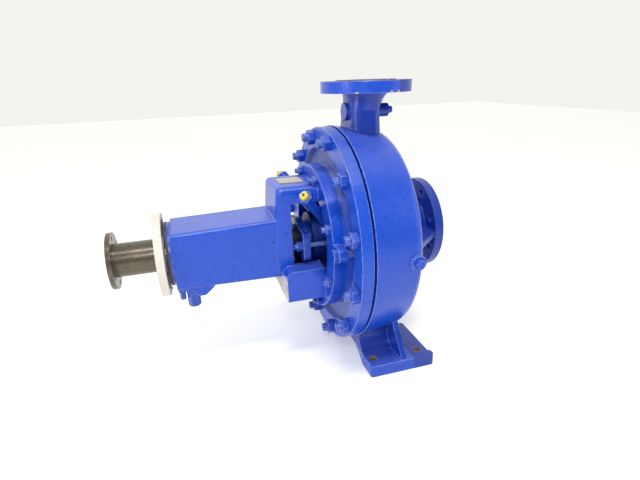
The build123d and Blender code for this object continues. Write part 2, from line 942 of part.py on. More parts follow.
# Bearing frame: box housing, lantern with its two windows and the adapter ring
with BuildPart() as bearing_frame:
    # Upper block of the lantern with a leaning, rounded end
    with BuildSketch(across(lantern_x - lantern_end_corner)):
        with BuildLine():
            Polyline(
                (-lantern_half_width, -lantern_foot_drop / 2),
                (-lantern_half_width, lantern_top_height),
                (lantern_half_width, lantern_top_height),
                (lantern_half_width, -lantern_foot_drop / 2),
                close=True,
            )
        make_face()
    extrude(amount=ring_face_x - lantern_x + lantern_end_corner)
    split(
        bisect_by=Plane(
            origin=(lantern_x, 0, shaft_height + lantern_top_height * 0.75),
            z_dir=(cos(radians(lantern_lean)), 0, -sin(radians(lantern_lean))),
        ),
        keep=Keep.TOP,
    )
    fillet(bearing_frame.edges().filter_by(Axis.X).group_by(Axis.Z)[-1], lantern_top_corner)
    fillet(
        bearing_frame.faces().sort_by(Axis.X)[0].edges().group_by(Axis.Z)[1:],
        lantern_end_corner,
    )
    with BuildSketch(across(housing_x)):
        RectangleRounded(housing_width, housing_height_drive, housing_corner)
    with BuildSketch(across(lantern_wall_x)):
        RectangleRounded(housing_width, housing_height_lantern, housing_corner)
    loft()
    # Lower block of the lantern, wider than the housing
    with BuildSketch(profile_plane) as foot_profile:
        with BuildLine():
            Polyline(
                (ring_face_x, -lantern_foot_drop),
                (ring_face_x, -lantern_foot_top_drop),
                (lantern_foot_x, -lantern_foot_top_drop),
                (lantern_foot_x, -lantern_foot_drop),
                close=True,
            )
        make_face()
        fillet(
            foot_profile.vertices().group_by(Axis.X)[0].sort_by(Axis.Y)[-1:],
            lantern_foot_corner,
        )
    extrude(amount=lantern_foot_half_width, both=True)
    turn_ring(ring_face_x, register_x, 0, ring_radius)
    turn_ring(register_x - 1, register_x + ring_lip, 0, register_bore_radius - spigot_gap)
    # Lugs of the two jack screws
    with BuildSketch(across(ring_face_x)):
        with Locations((0, jack_rise)):
            SlotCenterToCenter(jack_reach * 2, jack_lug_radius * 2)
    extrude(amount=jack_lug_thickness)
    # Sump bulge under the housing
    with BuildSketch(profile_plane):
        with BuildLine():
            Polyline(
                (housing_x + 4, -housing_height_drive / 2 + housing_corner),
                (housing_x + 4, -housing_height_drive / 2 - 4),
                (housing_x + sump_length * 0.4, -housing_height_drive / 2 - 6),
                (housing_x + sump_length * 0.6, -housing_height_drive / 2 - sump_depth),
                (housing_x + sump_length * 0.8, -housing_height_drive / 2 - sump_depth),
                (housing_x + sump_length * 1.1, -housing_height_drive / 2 - 4),
                (housing_x + sump_length * 1.1, -housing_height_drive / 2 + housing_corner),
                close=True,
            )
        make_face()
    extrude(amount=sump_half_width, both=True)
    with BuildSketch(Plane.XY.offset(oil_boss_z)):
        with Locations((oil_plug_x, plug_y)):
            Circle(oil_boss_radius)
    extrude(amount=housing_base_z - oil_boss_z + 4)
    with BuildSketch(Plane.XY.offset(small_boss_z)):
        with Locations((small_plug_x, plug_y)):
            Circle(small_boss_radius)
    extrude(amount=housing_base_z - small_boss_z + 4)
    # Lantern room, its windows and the bore through the adapter ring
    room_height = lantern_cavity_top + lantern_cavity_bottom
    roof_drop = lantern_foot_top_drop + lantern_wall
    with BuildSketch(across(lantern_wall_x)):
        with Locations((0, (lantern_cavity_top - lantern_cavity_bottom) / 2)):
            Rectangle((lantern_half_width - lantern_wall) * 2, room_height)
        with Locations((0, -(lantern_cavity_bottom + roof_drop) / 2)):
            Rectangle((lantern_foot_half_width - lantern_wall) * 2, lantern_cavity_bottom - roof_drop)
    extrude(amount=ring_face_x - lantern_wall_x, mode=Mode.SUBTRACT)
    turn_ring(ring_face_x - 1, register_x + ring_lip + 1, 0, ring_bore_radius, mode=Mode.SUBTRACT)
    turn_ring(
        lantern_wall_x,
        lantern_wall_x + inboard_plate_thickness + 1,
        0,
        inboard_plate_radius + inboard_plate_room,
        mode=Mode.SUBTRACT,
    )
    window_length = ring_face_x - window_x
    window_middle = (window_top - lantern_foot_top_drop) / 2
    with BuildSketch(Plane.XZ):
        with Locations((window_x + window_length / 2, shaft_height + window_middle)):
            RectangleRounded(window_length, window_top + lantern_foot_top_drop, window_corner)
    extrude(amount=lantern_foot_half_width, both=True, mode=Mode.SUBTRACT)
    # Room for the nuts where they stand close to the lantern
    bolt_rods(
        ring_face_x - ring_stud_tail - 6,
        ring_face_x,
        ring_bolt_circle,
        ring_bolt_count,
        ring_bolt_first_angle,
        ring_nut_pocket,
        mode=Mode.SUBTRACT,
    )
    # Bearing seats and the oil chamber between them
    turn_ring(
        housing_x - 1,
        outboard_bearing_x + bearing_width,
        0,
        bearing_radius + seat_gap,
        mode=Mode.SUBTRACT,
    )
    turn_ring(
        inboard_bearing_x,
        lantern_wall_x + 1,
        0,
        bearing_radius + seat_gap,
        mode=Mode.SUBTRACT,
    )
    turn_ring(
        outboard_bearing_x,
        inboard_bearing_x + 1,
        0,
        bearing_shoulder_radius,
        mode=Mode.SUBTRACT,
    )
    chamber_x = (outboard_bearing_x + bearing_width + inboard_bearing_x - chamber_length) / 2
    with BuildSketch(across(chamber_x)):
        RectangleRounded(chamber_width, chamber_height, chamber_corner)
    extrude(amount=chamber_length, mode=Mode.SUBTRACT)
    # Screw, stud and plug holes
    bolt_rods(
        housing_x - 1,
        housing_x + cover_screw_grip,
        cover_screw_circle,
        cover_screw_count,
        45,
        cover_screw_radius + thread_gap,
        mode=Mode.SUBTRACT,
    )
    bolt_rods(
        lantern_wall_x - cover_screw_grip,
        lantern_wall_x + 1,
        cover_screw_circle,
        cover_screw_count,
        45,
        cover_screw_radius + thread_gap,
        mode=Mode.SUBTRACT,
    )
    bolt_rods(
        ring_face_x - 1,
        register_x + 1,
        ring_bolt_circle,
        ring_bolt_count,
        ring_bolt_first_angle,
        ring_stud_radius + bolt_gap,
        mode=Mode.SUBTRACT,
    )
    pair_rods(
        ring_face_x - 1,
        ring_face_x + jack_lug_thickness + 1,
        jack_reach,
        jack_rise,
        jack_screw_radius + thread_gap,
        mode=Mode.SUBTRACT,
    )
    with BuildSketch(Plane.XY.offset(oil_boss_z)):
        with Locations((oil_plug_x, plug_y)):
            Circle(oil_plug_radius + thread_gap)
    extrude(amount=oil_plug_depth, mode=Mode.SUBTRACT)
    with BuildSketch(Plane.XY.offset(small_boss_z)):
        with Locations((small_plug_x, plug_y)):
            Circle(small_plug_radius + thread_gap)
    extrude(amount=small_plug_depth, mode=Mode.SUBTRACT)
    # Duct from the sump pocket under the oil chamber to the drain plug
    with BuildSketch(Plane.XY.offset(housing_base_z - sump_pocket_depth)):
        with Locations((chamber_x - sump_pocket_length / 2 + 6, 0)):
            Rectangle(sump_pocket_length, sump_pocket_width)
    extrude(amount=sump_pocket_depth + 16, mode=Mode.SUBTRACT)
    with BuildSketch(Plane.YZ.offset(oil_plug_x)):
        with Locations((plug_y, oil_boss_z + oil_plug_depth)):
            Circle(duct_radius)
    extrude(amount=chamber_x - oil_plug_x, mode=Mode.SUBTRACT)
bearing_frame.part.label = "bearing_frame"
export_step(bearing_frame.part, "parts/bearing_frame.step")

# Studs and nuts that hold the adapter ring to the casing cover
with BuildPart() as frame_studs:
    bolt_rods(
        ring_face_x - ring_stud_tail,
        register_x + ring_stud_grip,
        ring_bolt_circle,
        ring_bolt_count,
        ring_bolt_first_angle,
        ring_stud_radius,
    )
frame_studs.part.label = "frame_studs"
export_step(frame_studs.part, "parts/frame_studs.step")

with BuildPart() as frame_nuts:
    bolt_hexes(
        ring_face_x - ring_nut_height,
        ring_face_x,
        ring_bolt_circle,
        ring_bolt_count,
        ring_bolt_first_angle,
        ring_nut_flats,
    )
    bolt_rods(
        ring_face_x - ring_nut_height - 1,
        ring_face_x + 1,
        ring_bolt_circle,
        ring_bolt_count,
        ring_bolt_first_angle,
        ring_stud_radius + thread_gap,
        mode=Mode.SUBTRACT,
    )
frame_nuts.part.label = "frame_nuts"
export_step(frame_nuts.part, "parts/frame_nuts.step")

# Jack screws that push the cover away from the frame
with BuildPart() as jack_screws:
    pair_hexes(ring_face_x - jack_head_height, ring_face_x, jack_reach, jack_rise, jack_head_flats)
    pair_rods(ring_face_x, recess_x, jack_reach, jack_rise, jack_screw_radius)
jack_screws.part.label = "jack_screws"
export_step(jack_screws.part, "parts/jack_screws.step")

# Oil plugs under the housing and the bare plate on top of the lantern
with BuildPart() as oil_drain_plug:
    with BuildSketch(Plane.XY.offset(oil_boss_z)):
        with Locations((oil_plug_x, plug_y)):
            Circle(oil_plug_radius)
    extrude(amount=oil_plug_depth - duct_radius)
    with BuildSketch(Plane.XY.offset(oil_boss_z - oil_plug_head)):
        with Locations((oil_plug_x, plug_y)):
            RegularPolygon(oil_plug_flats / 2, 6, major_radius=False)
    extrude(amount=oil_plug_head)
oil_drain_plug.part.label = "oil_drain_plug"
export_step(oil_drain_plug.part, "parts/oil_drain_plug.step")

with BuildPart() as housing_plug:
    with BuildSketch(Plane.XY.offset(small_boss_z)):
        with Locations((small_plug_x, plug_y)):
            Circle(small_plug_radius)
    extrude(amount=small_plug_depth)
    with BuildSketch(Plane.XY.offset(small_boss_z - small_plug_head)):
        with Locations((small_plug_x, plug_y)):
            RegularPolygon(small_plug_flats / 2, 6, major_radius=False)
    extrude(amount=small_plug_head)
housing_plug.part.label = "housing_plug"
export_step(housing_plug.part, "parts/housing_plug.step")

with BuildPart() as lantern_plate:
    with BuildSketch(Plane.XY.offset(shaft_height + lantern_top_height)):
        with Locations((lantern_x + plate_inset + plate_length / 2, 0)):
            Rectangle(plate_length, plate_width)
    extrude(amount=plate_thickness)
lantern_plate.part.label = "lantern_plate"
export_step(lantern_plate.part, "parts/lantern_plate.step")

# Bearing covers with their screws and lip seals
outboard_seal_x = outboard_plate_x + 2
with BuildPart() as outboard_cover:
    turn_ring(outboard_plate_x, housing_x, 0, cover_plate_radius)
    turn_ring(housing_x - 1, outboard_bearing_x, 0, bearing_radius - seat_gap)
    turn_ring(
        housing_x,
        outboard_bearing_x + 1,
        0,
        bearing_radius - bearing_spigot_wall,
        mode=Mode.SUBTRACT,
    )
    turn_ring(
        outboard_plate_x - 1,
        housing_x + 1,
        0,
        seal_seat_radius + 1,
        mode=Mode.SUBTRACT,
    )
    turn_ring(
        outboard_seal_x,
        housing_x + 1,
        0,
        seal_radius + seat_gap,
        mode=Mode.SUBTRACT,
    )
    bolt_rods(
        outboard_plate_x - 1,
        housing_x + 1,
        cover_screw_circle,
        cover_screw_count,
        45,
        cover_screw_radius + bolt_gap / 2,
        mode=Mode.SUBTRACT,
    )
    bolt_rods(
        outboard_plate_x - 1,
        outboard_plate_x + cover_screw_head,
        cover_screw_circle,
        cover_screw_count,
        45,
        cover_screw_flats * 0.62,
        mode=Mode.SUBTRACT,
    )
outboard_cover.part.label = "outboard_cover"
export_step(outboard_cover.part, "parts/outboard_cover.step")

with BuildPart() as outboard_cover_screws:
    bolt_hexes(
        outboard_plate_x,
        outboard_plate_x + cover_screw_head,
        cover_screw_circle,
        cover_screw_count,
        45,
        cover_screw_flats,
    )
    bolt_rods(
        outboard_plate_x + cover_screw_head,
        housing_x + cover_screw_grip,
        cover_screw_circle,
        cover_screw_count,
        45,
        cover_screw_radius,
    )
outboard_cover_screws.part.label = "outboard_cover_screws"
export_step(outboard_cover_screws.part, "parts/outboard_cover_screws.step")

with BuildPart() as outboard_seal:
    turn_ring(outboard_seal_x, outboard_seal_x + seal_width, seal_seat_radius + running_gap, seal_radius)
outboard_seal.part.label = "outboard_seal"
export_step(outboard_seal.part, "parts/outboard_seal.step")

inboard_plate_end_x = lantern_wall_x + inboard_plate_thickness
inboard_seal_x = inboard_plate_end_x - seal_width
with BuildPart() as inboard_cover:
    turn_ring(lantern_wall_x, inboard_plate_end_x, 0, inboard_plate_radius)
    turn_ring(
        inboard_bearing_x + bearing_width,
        lantern_wall_x + 1,
        0,
        bearing_radius - seat_gap,
    )
    turn_ring(
        inboard_bearing_x + bearing_width - 1,
        lantern_wall_x - 4,
        0,
        bearing_radius - bearing_spigot_wall,
        mode=Mode.SUBTRACT,
    )
    turn_ring(
        inboard_bearing_x + bearing_width - 1,
        inboard_plate_end_x + 1,
        0,
        seal_seat_radius + 1,
        mode=Mode.SUBTRACT,
    )
    turn_ring(
        inboard_seal_x,
        inboard_plate_end_x + 1,
        0,
        seal_radius + seat_gap,
        mode=Mode.SUBTRACT,
    )
    bolt_rods(
        lantern_wall_x - 1,
        inboard_plate_end_x + 1,
        cover_screw_circle,
        cover_screw_count,
        45,
        cover_screw_radius + bolt_gap / 2,
        mode=Mode.SUBTRACT,
    )
inboard_cover.part.label = "inboard_cover"
export_step(inboard_cover.part, "parts/inboard_cover.step")

with BuildPart() as inboard_cover_screws:
    bolt_hexes(
        inboard_plate_end_x,
        inboard_plate_end_x + cover_screw_head,
        cover_screw_circle,
        cover_screw_count,
        45,
        cover_screw_flats,
    )
    bolt_rods(
        lantern_wall_x - cover_screw_grip,
        inboard_plate_end_x,
        cover_screw_circle,
        cover_screw_count,
        45,
        cover_screw_radius,
    )
inboard_cover_screws.part.label = "inboard_cover_screws"
export_step(inboard_cover_screws.part, "parts/inboard_cover_screws.step")

with BuildPart() as inboard_seal:
    turn_ring(inboard_seal_x, inboard_plate_end_x, seal_seat_radius + running_gap, seal_radius)
inboard_seal.part.label = "inboard_seal"
export_step(inboard_seal.part, "parts/inboard_seal.step")

# Outboard bearing: deep-groove ball bearing, its outer race held by the cover
outboard_middle_x = outboard_bearing_x + bearing_width / 2
groove_radius = ball_radius + running_gap
outer_land_radius = bearing_radius - race_depth + 1.0
inner_land_radius = bearing_bore_radius + race_depth - 1.0


def groove(x, radius):
    """Cut the ball groove, a turned arc about the ball circle."""
    with BuildSketch(profile_plane) as outline:
        with Locations((x, bearing_pitch_radius)):
            Circle(radius)
    revolve(outline.sketch, axis=shaft_axis, mode=Mode.SUBTRACT)


with BuildPart() as outboard_outer_race:
    turn_ring(outboard_bearing_x, outboard_bearing_x + bearing_width, outer_land_radius, bearing_radius)
    groove(outboard_middle_x, groove_radius)
outboard_outer_race.part.label = "outboard_outer_race"
export_step(outboard_outer_race.part, "parts/outboard_outer_race.step")

with BuildPart() as outboard_inner_race:
    turn_ring(
        outboard_bearing_x,
        outboard_bearing_x + bearing_width,
        bearing_bore_radius + seat_gap,
        inner_land_radius,
    )
    groove(outboard_middle_x, groove_radius)
outboard_inner_race.part.label = "outboard_inner_race"
export_step(outboard_inner_race.part, "parts/outboard_inner_race.step")

ball_centre_plane = across(outboard_middle_x)
with BuildPart() as outboard_balls:
    with Locations(ball_centre_plane):
        with PolarLocations(bearing_pitch_radius, ball_count):
            Sphere(ball_radius)
outboard_balls.part.label = "outboard_balls"
export_step(outboard_balls.part, "parts/outboard_balls.step")

with BuildPart() as outboard_cage:
    turn_ring(
        outboard_middle_x - ball_cage_width / 2,
        outboard_middle_x + ball_cage_width / 2,
        bearing_pitch_radius - cage_half_thickness,
        bearing_pitch_radius + cage_half_thickness,
    )
    with Locations(ball_centre_plane):
        with PolarLocations(bearing_pitch_radius, ball_count):
            Cylinder(groove_radius, cage_half_thickness * 8, rotation=(0, 90, 0), mode=Mode.SUBTRACT)
outboard_cage.part.label = "outboard_cage"
export_step(outboard_cage.part, "parts/outboard_cage.step")

# Inboard bearing: cylindrical rollers, which let the shaft grow with heat
inboard_middle_x = inboard_bearing_x + bearing_width / 2
roller_track_inner = bearing_pitch_radius - roller_radius - running_gap
roller_track_outer = bearing_pitch_radius + roller_radius + running_gap
with BuildPart() as inboard_outer_race:
    turn_ring(inboard_bearing_x, inboard_bearing_x + bearing_width, roller_track_outer, bearing_radius)
inboard_outer_race.part.label = "inboard_outer_race"
export_step(inboard_outer_race.part, "parts/inboard_outer_race.step")

with BuildPart() as inboard_inner_race:
    turn_ring(
        inboard_bearing_x,
        inboard_bearing_x + bearing_width,
        bearing_bore_radius + seat_gap,
        roller_track_inner,
    )
inboard_inner_race.part.label = "inboard_inner_race"
export_step(inboard_inner_race.part, "parts/inboard_inner_race.step")

with BuildPart() as inboard_rollers:
    bolt_rods(
        inboard_middle_x - roller_length / 2,
        inboard_middle_x + roller_length / 2,
        bearing_pitch_radius * 2,
        roller_count,
        0,
        roller_radius,
    )
inboard_rollers.part.label = "inboard_rollers"
export_step(inboard_rollers.part, "parts/inboard_rollers.step")

with BuildPart() as inboard_cage:
    turn_ring(
        inboard_middle_x - roller_cage_width / 2,
        inboard_middle_x + roller_cage_width / 2,
        bearing_pitch_radius - cage_half_thickness,
        bearing_pitch_radius + cage_half_thickness,
    )
    bolt_rods(
        inboard_middle_x - roller_length / 2 - running_gap,
        inboard_middle_x + roller_length / 2 + running_gap,
        bearing_pitch_radius * 2,
        roller_count,
        0,
        roller_radius + running_gap,
        mode=Mode.SUBTRACT,
    )
inboard_cage.part.label = "inboard_cage"
export_step(inboard_cage.part, "parts/inboard_cage.step")

# Pump shaft, turned in steps, with a keyway at each end
coupling_key_start_x = hub_face_x + shaft_end_recess + 6
impeller_key_start_x = hub_back_x + 6
lock_washer_x = outboard_bearing_x - lock_washer_thickness
lock_nut_x = lock_washer_x - lock_nut_width
sleeve_x = hub_back_x - sleeve_length
slinger_x = sleeve_x + slinger_inset
nut_end_x = nut_seat_x + impeller_nut_width


def key_block(x_start, length, width, height, seat_radius, gap, mode=Mode.ADD):
    """Straight key lying in the top of a shaft seat, or the slot that it fits."""
    top = seat_radius + height * 0.4 + gap
    with BuildSketch(Plane.XY.offset(shaft_height + top - height - gap)) as outline:
        with Locations((x_start + length / 2, 0)):
            Rectangle(length + gap * 2, width + gap * 2)
    extrude(outline.sketch, amount=height + gap, mode=mode)


with BuildPart() as pump_shaft:
    turn(
        (shaft_end_x, 0),
        (shaft_end_x, coupling_seat_radius),
        (hub_face_x + hub_length, coupling_seat_radius),
        (hub_face_x + hub_length, seal_seat_radius),
        (lock_nut_x - 1, seal_seat_radius),
        (lock_nut_x - 1, bearing_bore_radius),
        (outboard_bearing_x + bearing_width, bearing_bore_radius),
        (outboard_bearing_x + bearing_width, mid_shaft_radius),
        (inboard_bearing_x, mid_shaft_radius),
        (inboard_bearing_x, bearing_bore_radius),
        (inboard_bearing_x + bearing_width, bearing_bore_radius),
        (inboard_bearing_x + bearing_width, seal_seat_radius),
        (sleeve_x, seal_seat_radius),
        (sleeve_x, sleeve_seat_radius),
        (hub_back_x - 4, sleeve_seat_radius),
        (hub_back_x - 4, impeller_seat_radius),
        (nut_seat_x - 1, impeller_seat_radius),
        (nut_seat_x - 1, impeller_thread_radius),
        (nut_end_x + 4, impeller_thread_radius),
        (nut_end_x + 4, 0),
    )
    key_block(
        coupling_key_start_x,
        coupling_key_length,
        coupling_key_width,
        coupling_key_height,
        coupling_seat_radius,
        seat_gap,
        mode=Mode.SUBTRACT,
    )
    key_block(
        impeller_key_start_x,
        impeller_key_length,
        impeller_key_width,
        impeller_key_height,
        impeller_seat_radius,
        seat_gap,
        mode=Mode.SUBTRACT,
    )
pump_shaft.part.label = "pump_shaft"
export_step(pump_shaft.part, "parts/pump_shaft.step")

with BuildPart() as coupling_key:
    key_block(
        coupling_key_start_x,
        coupling_key_length,
        coupling_key_width,
        coupling_key_height,
        coupling_seat_radius,
        0,
    )
coupling_key.part.label = "coupling_key"
export_step(coupling_key.part, "parts/coupling_key.step")

with BuildPart() as impeller_key:
    key_block(
        impeller_key_start_x,
        impeller_key_length,
        impeller_key_width,
        impeller_key_height,
        impeller_seat_radius,
        0,
    )
impeller_key.part.label = "impeller_key"
export_step(impeller_key.part, "parts/impeller_key.step")

# Sleeve under the packing, and the slinger that keeps leakage out of the bearings
with BuildPart() as shaft_sleeve:
    turn_ring(sleeve_x, hub_back_x, sleeve_seat_radius + seat_gap, sleeve_radius)
    turn_ring(hub_back_x - 4, hub_back_x, impeller_seat_radius + seat_gap, sleeve_seat_radius + 1)
shaft_sleeve.part.label = "shaft_sleeve"
export_step(shaft_sleeve.part, "parts/shaft_sleeve.step")

with BuildPart() as water_slinger:
    turn(
        (slinger_x, sleeve_radius + seat_gap),
        (slinger_x, slinger_radius),
        (slinger_x + slinger_width / 2, slinger_radius),
        (slinger_x + slinger_width, sleeve_radius + 4),
        (slinger_x + slinger_width, sleeve_radius + seat_gap),
    )
water_slinger.part.label = "water_slinger"
export_step(water_slinger.part, "parts/water_slinger.step")

# Lock nut and tab washer on the outboard bearing
with BuildPart() as lock_washer:
    turn_ring(lock_washer_x, outboard_bearing_x, bearing_bore_radius + seat_gap, lock_nut_radius)
lock_washer.part.label = "lock_washer"
export_step(lock_washer.part, "parts/lock_washer.step")

with BuildPart() as lock_nut:
    turn_ring(lock_nut_x, lock_washer_x, bearing_bore_radius + seat_gap, lock_nut_radius)
    with BuildSketch(across(lock_nut_x)):
        with PolarLocations(lock_nut_radius, 4):
            Rectangle(6, 6)
    extrude(amount=lock_nut_width, mode=Mode.SUBTRACT)
lock_nut.part.label = "lock_nut"
export_step(lock_nut.part, "parts/lock_nut.step")

# Coupling hub: flange and long boss, keyed to the shaft and held by a set screw
set_screw_x = hub_face_x + hub_length - 20
with BuildPart() as coupling_hub:
    turn_ring(hub_face_x, hub_face_x + hub_flange_thickness, 0, hub_flange_radius)
    turn_ring(hub_face_x, hub_face_x + hub_length, 0, hub_tube_radius)
    turn_ring(
        hub_face_x - 1,
        hub_face_x + hub_length + 1,
        0,
        coupling_seat_radius + seat_gap,
        mode=Mode.SUBTRACT,
    )
    key_block(
        hub_face_x - 1,
        hub_length + 2,
        coupling_key_width,
        coupling_key_height,
        coupling_seat_radius,
        seat_gap,
        mode=Mode.SUBTRACT,
    )
    bolt_rods(
        hub_face_x - 1,
        hub_face_x + hub_flange_thickness + 1,
        hub_bolt_circle,
        hub_bolt_count,
        0,
        hub_hole_radius,
        mode=Mode.SUBTRACT,
    )
    with BuildSketch(Plane.XZ.offset(-coupling_seat_radius)):
        with Locations((set_screw_x, shaft_height)):
            Circle(set_screw_radius + thread_gap)
    extrude(amount=-hub_tube_radius, mode=Mode.SUBTRACT)
coupling_hub.part.label = "coupling_hub"
export_step(coupling_hub.part, "parts/coupling_hub.step")

with BuildPart() as hub_set_screw:
    with BuildSketch(Plane.XZ.offset(-coupling_seat_radius - seat_gap)):
        with Locations((set_screw_x, shaft_height)):
            Circle(set_screw_radius)
    extrude(amount=-set_screw_length)
hub_set_screw.part.label = "hub_set_screw"
export_step(hub_set_screw.part, "parts/hub_set_screw.step")

# Deflector disc between the coupling and the housing, hollowed on the pump side
disc_start_x = disc_x - disc_thickness
disc_screw_circle = (disc_radius - disc_rim_width / 2) * 2
with BuildPart() as deflector_disc:
    turn_ring(disc_start_x, disc_x, 0, disc_radius)
    turn_ring(
        disc_start_x + disc_web,
        disc_x + 1,
        disc_hub_radius,
        disc_radius - disc_rim_width,
        mode=Mode.SUBTRACT,
    )
    turn_ring(disc_start_x - 1, disc_x + 1, 0, seal_seat_radius + seat_gap, mode=Mode.SUBTRACT)
    bolt_rods(
        disc_x - disc_web,
        disc_x + 1,
        disc_screw_circle,
        1,
        180,
        disc_screw_radius / 2 + thread_gap,
        mode=Mode.SUBTRACT,
    )
deflector_disc.part.label = "deflector_disc"
export_step(deflector_disc.part, "parts/deflector_disc.step")

with BuildPart() as disc_screw:
    bolt_rods(disc_x - disc_web, disc_x, disc_screw_circle, 1, 180, disc_screw_radius / 2)
    bolt_rods(disc_x, disc_x + disc_screw_head, disc_screw_circle, 1, 180, disc_screw_radius)
disc_screw.part.label = "disc_screw"
export_step(disc_screw.part, "parts/disc_screw.step")

# Impeller: closed wheel with six backward-curved vanes, turning clockwise seen from the coupling
passage_back_x = impeller_back_x + shroud_thickness
passage_front_x = impeller_front_x - shroud_thickness
vane_growth = log(impeller_radius / vane_inlet_radius) / radians(vane_wrap)


def vane_point(sweep, offset):
    """Point of a vane whose centre line is a logarithmic spiral, offset square to it."""
    radius = vane_inlet_radius * exp(vane_growth * sweep)
    lean = atan2(1, vane_growth)
    direction = -sweep
    x = radius * cos(direction)
    y = radius * sin(direction)
    return (x + offset * sin(direction - lean), y - offset * cos(direction - lean))


with BuildPart() as impeller:
    with BuildSketch(across(passage_back_x - 2)):
        with PolarLocations(0, vane_count):
            with BuildLine():
                sweeps = [radians(vane_wrap + 4) * step / vane_steps for step in range(vane_steps + 1)]
                pressure_side = Spline(*[vane_point(sweep, vane_thickness / 2) for sweep in sweeps])
                suction_side = Spline(*[vane_point(sweep, -vane_thickness / 2) for sweep in sweeps])
                Line(pressure_side @ 0, suction_side @ 0)
                Line(pressure_side @ 1, suction_side @ 1)
            make_face()
        Circle(impeller_radius, mode=Mode.INTERSECT)
    extrude(amount=impeller_front_x - passage_back_x + 1.5)
    turn(
        (hub_back_x, 0),
        (hub_back_x, impeller_hub_radius),
        (impeller_back_x - 5, impeller_hub_radius),
        (impeller_back_x, impeller_hub_radius + 6),
        (impeller_back_x, eye_radius),
        (impeller_back_x - back_neck_length, eye_radius),
        (impeller_back_x - back_neck_length, impeller_neck_radius),
        (impeller_back_x, impeller_neck_radius),
        (impeller_back_x, impeller_radius),
        (passage_back_x, impeller_radius),
        (passage_back_x, vane_inlet_radius + 18),
        (passage_back_x + 2, vane_inlet_radius - 6),
        (passage_back_x + 8, impeller_hub_radius + 10),
        (passage_back_x + 16, impeller_hub_radius + 1),
        (nut_seat_x, hub_nose_radius),
        (nut_seat_x, 0),
    )
    turn(
        (impeller_front_x + front_neck_length, eye_radius),
        (impeller_front_x + front_neck_length, impeller_neck_radius),
        (impeller_front_x + 7, impeller_neck_radius),
        (impeller_front_x + 4, impeller_neck_radius + 4),
        (impeller_front_x, impeller_neck_radius + 14),
        (impeller_front_x, impeller_radius),
        (passage_front_x, impeller_radius),
        (passage_front_x, vane_inlet_radius + shroud_blend),
        (passage_front_x + 1, vane_inlet_radius + 10),
        (passage_front_x + 4, vane_inlet_radius - 2),
        (passage_front_x + 8, eye_radius),
    )
    turn_ring(hub_back_x - 1, nut_seat_x + 1, 0, impeller_seat_radius + seat_gap, mode=Mode.SUBTRACT)
    key_block(
        hub_back_x - 1,
        nut_seat_x - hub_back_x + 2,
        impeller_key_width,
        impeller_key_height,
        impeller_seat_radius,
        seat_gap,
        mode=Mode.SUBTRACT,
    )
    bolt_rods(
        impeller_back_x - 1,
        passage_back_x + 12,
        balance_hole_circle,
        balance_hole_count,
        0,
        balance_hole_radius,
        mode=Mode.SUBTRACT,
    )
impeller.part.label = "impeller"
export_step(impeller.part, "parts/impeller.step")

with BuildPart() as impeller_nut:
    with BuildSketch(across(nut_seat_x)):
        RegularPolygon(impeller_nut_flats / 2, 6, major_radius=False)
        Circle(impeller_thread_radius + thread_gap, mode=Mode.SUBTRACT)
    extrude(amount=impeller_nut_width)
impeller_nut.part.label = "impeller_nut"
export_step(impeller_nut.part, "parts/impeller_nut.step")

# Wear rings, one each side of the impeller
with BuildPart() as casing_wear_ring:
    turn_ring(
        cavity_end_x - wear_boss_depth,
        cavity_end_x - wear_boss_depth + wear_ring_width,
        impeller_neck_radius + wear_gap,
        wear_seat_radius,
    )
casing_wear_ring.part.label = "casing_wear_ring"
export_step(casing_wear_ring.part, "parts/casing_wear_ring.step")

with BuildPart() as cover_wear_ring:
    turn_ring(
        wet_x - wear_ring_sink,
        wet_x - wear_ring_sink + wear_ring_width,
        impeller_neck_radius + wear_gap,
        wear_seat_radius,
    )
cover_wear_ring.part.label = "cover_wear_ring"
export_step(cover_wear_ring.part, "parts/cover_wear_ring.step")

# Stuffing box: throat bush, braided packing, lantern ring, and the gland that squeezes them
with BuildPart() as throat_bush:
    turn_ring(
        packing_start_x,
        hub_back_x - throat_bush_gap,
        sleeve_radius + bush_gap,
        sleeve_radius + throat_bush_wall,
    )
throat_bush.part.label = "throat_bush"
export_step(throat_bush.part, "parts/throat_bush.step")

lantern_ring_x = packing_start_x - inner_packing_count * packing_size - lantern_ring_width
with BuildPart() as packing_rings:
    for number in range(inner_packing_count):
        ring_end_x = packing_start_x - number * packing_size
        turn_ring(
            ring_end_x - packing_size + packing_gap,
            ring_end_x,
            sleeve_radius + running_gap,
            packing_radius,
        )
    for number in range(outer_packing_count):
        ring_end_x = lantern_ring_x - number * packing_size
        turn_ring(
            ring_end_x - packing_size + packing_gap,
            ring_end_x,
            sleeve_radius + running_gap,
            packing_radius,
        )
packing_rings.part.label = "packing_rings"
export_step(packing_rings.part, "parts/packing_rings.step")

lantern_land = 4.0
with BuildPart() as lantern_ring:
    turn_ring(
        lantern_ring_x,
        lantern_ring_x + lantern_ring_width,
        sleeve_radius + bush_gap,
        packing_radius - running_gap,
    )
    turn_ring(
        lantern_ring_x + lantern_land,
        lantern_ring_x + lantern_ring_width - lantern_land,
        packing_radius - 3,
        packing_radius + 1,
        mode=Mode.SUBTRACT,
    )
    turn_ring(
        lantern_ring_x + lantern_land,
        lantern_ring_x + lantern_ring_width - lantern_land,
        sleeve_radius,
        sleeve_radius + 3,
        mode=Mode.SUBTRACT,
    )
    with BuildSketch(Plane.XY.offset(shaft_height)):
        with Locations((lantern_ring_x + lantern_ring_width / 2, 0)):
            Circle(lantern_hole_radius)
    extrude(amount=packing_radius, both=True, mode=Mode.SUBTRACT)
    with BuildSketch(Plane.XZ):
        with Locations((lantern_ring_x + lantern_ring_width / 2, shaft_height)):
            Circle(lantern_hole_radius)
    extrude(amount=packing_radius, both=True, mode=Mode.SUBTRACT)
lantern_ring.part.label = "lantern_ring"
export_step(lantern_ring.part, "parts/lantern_ring.step")

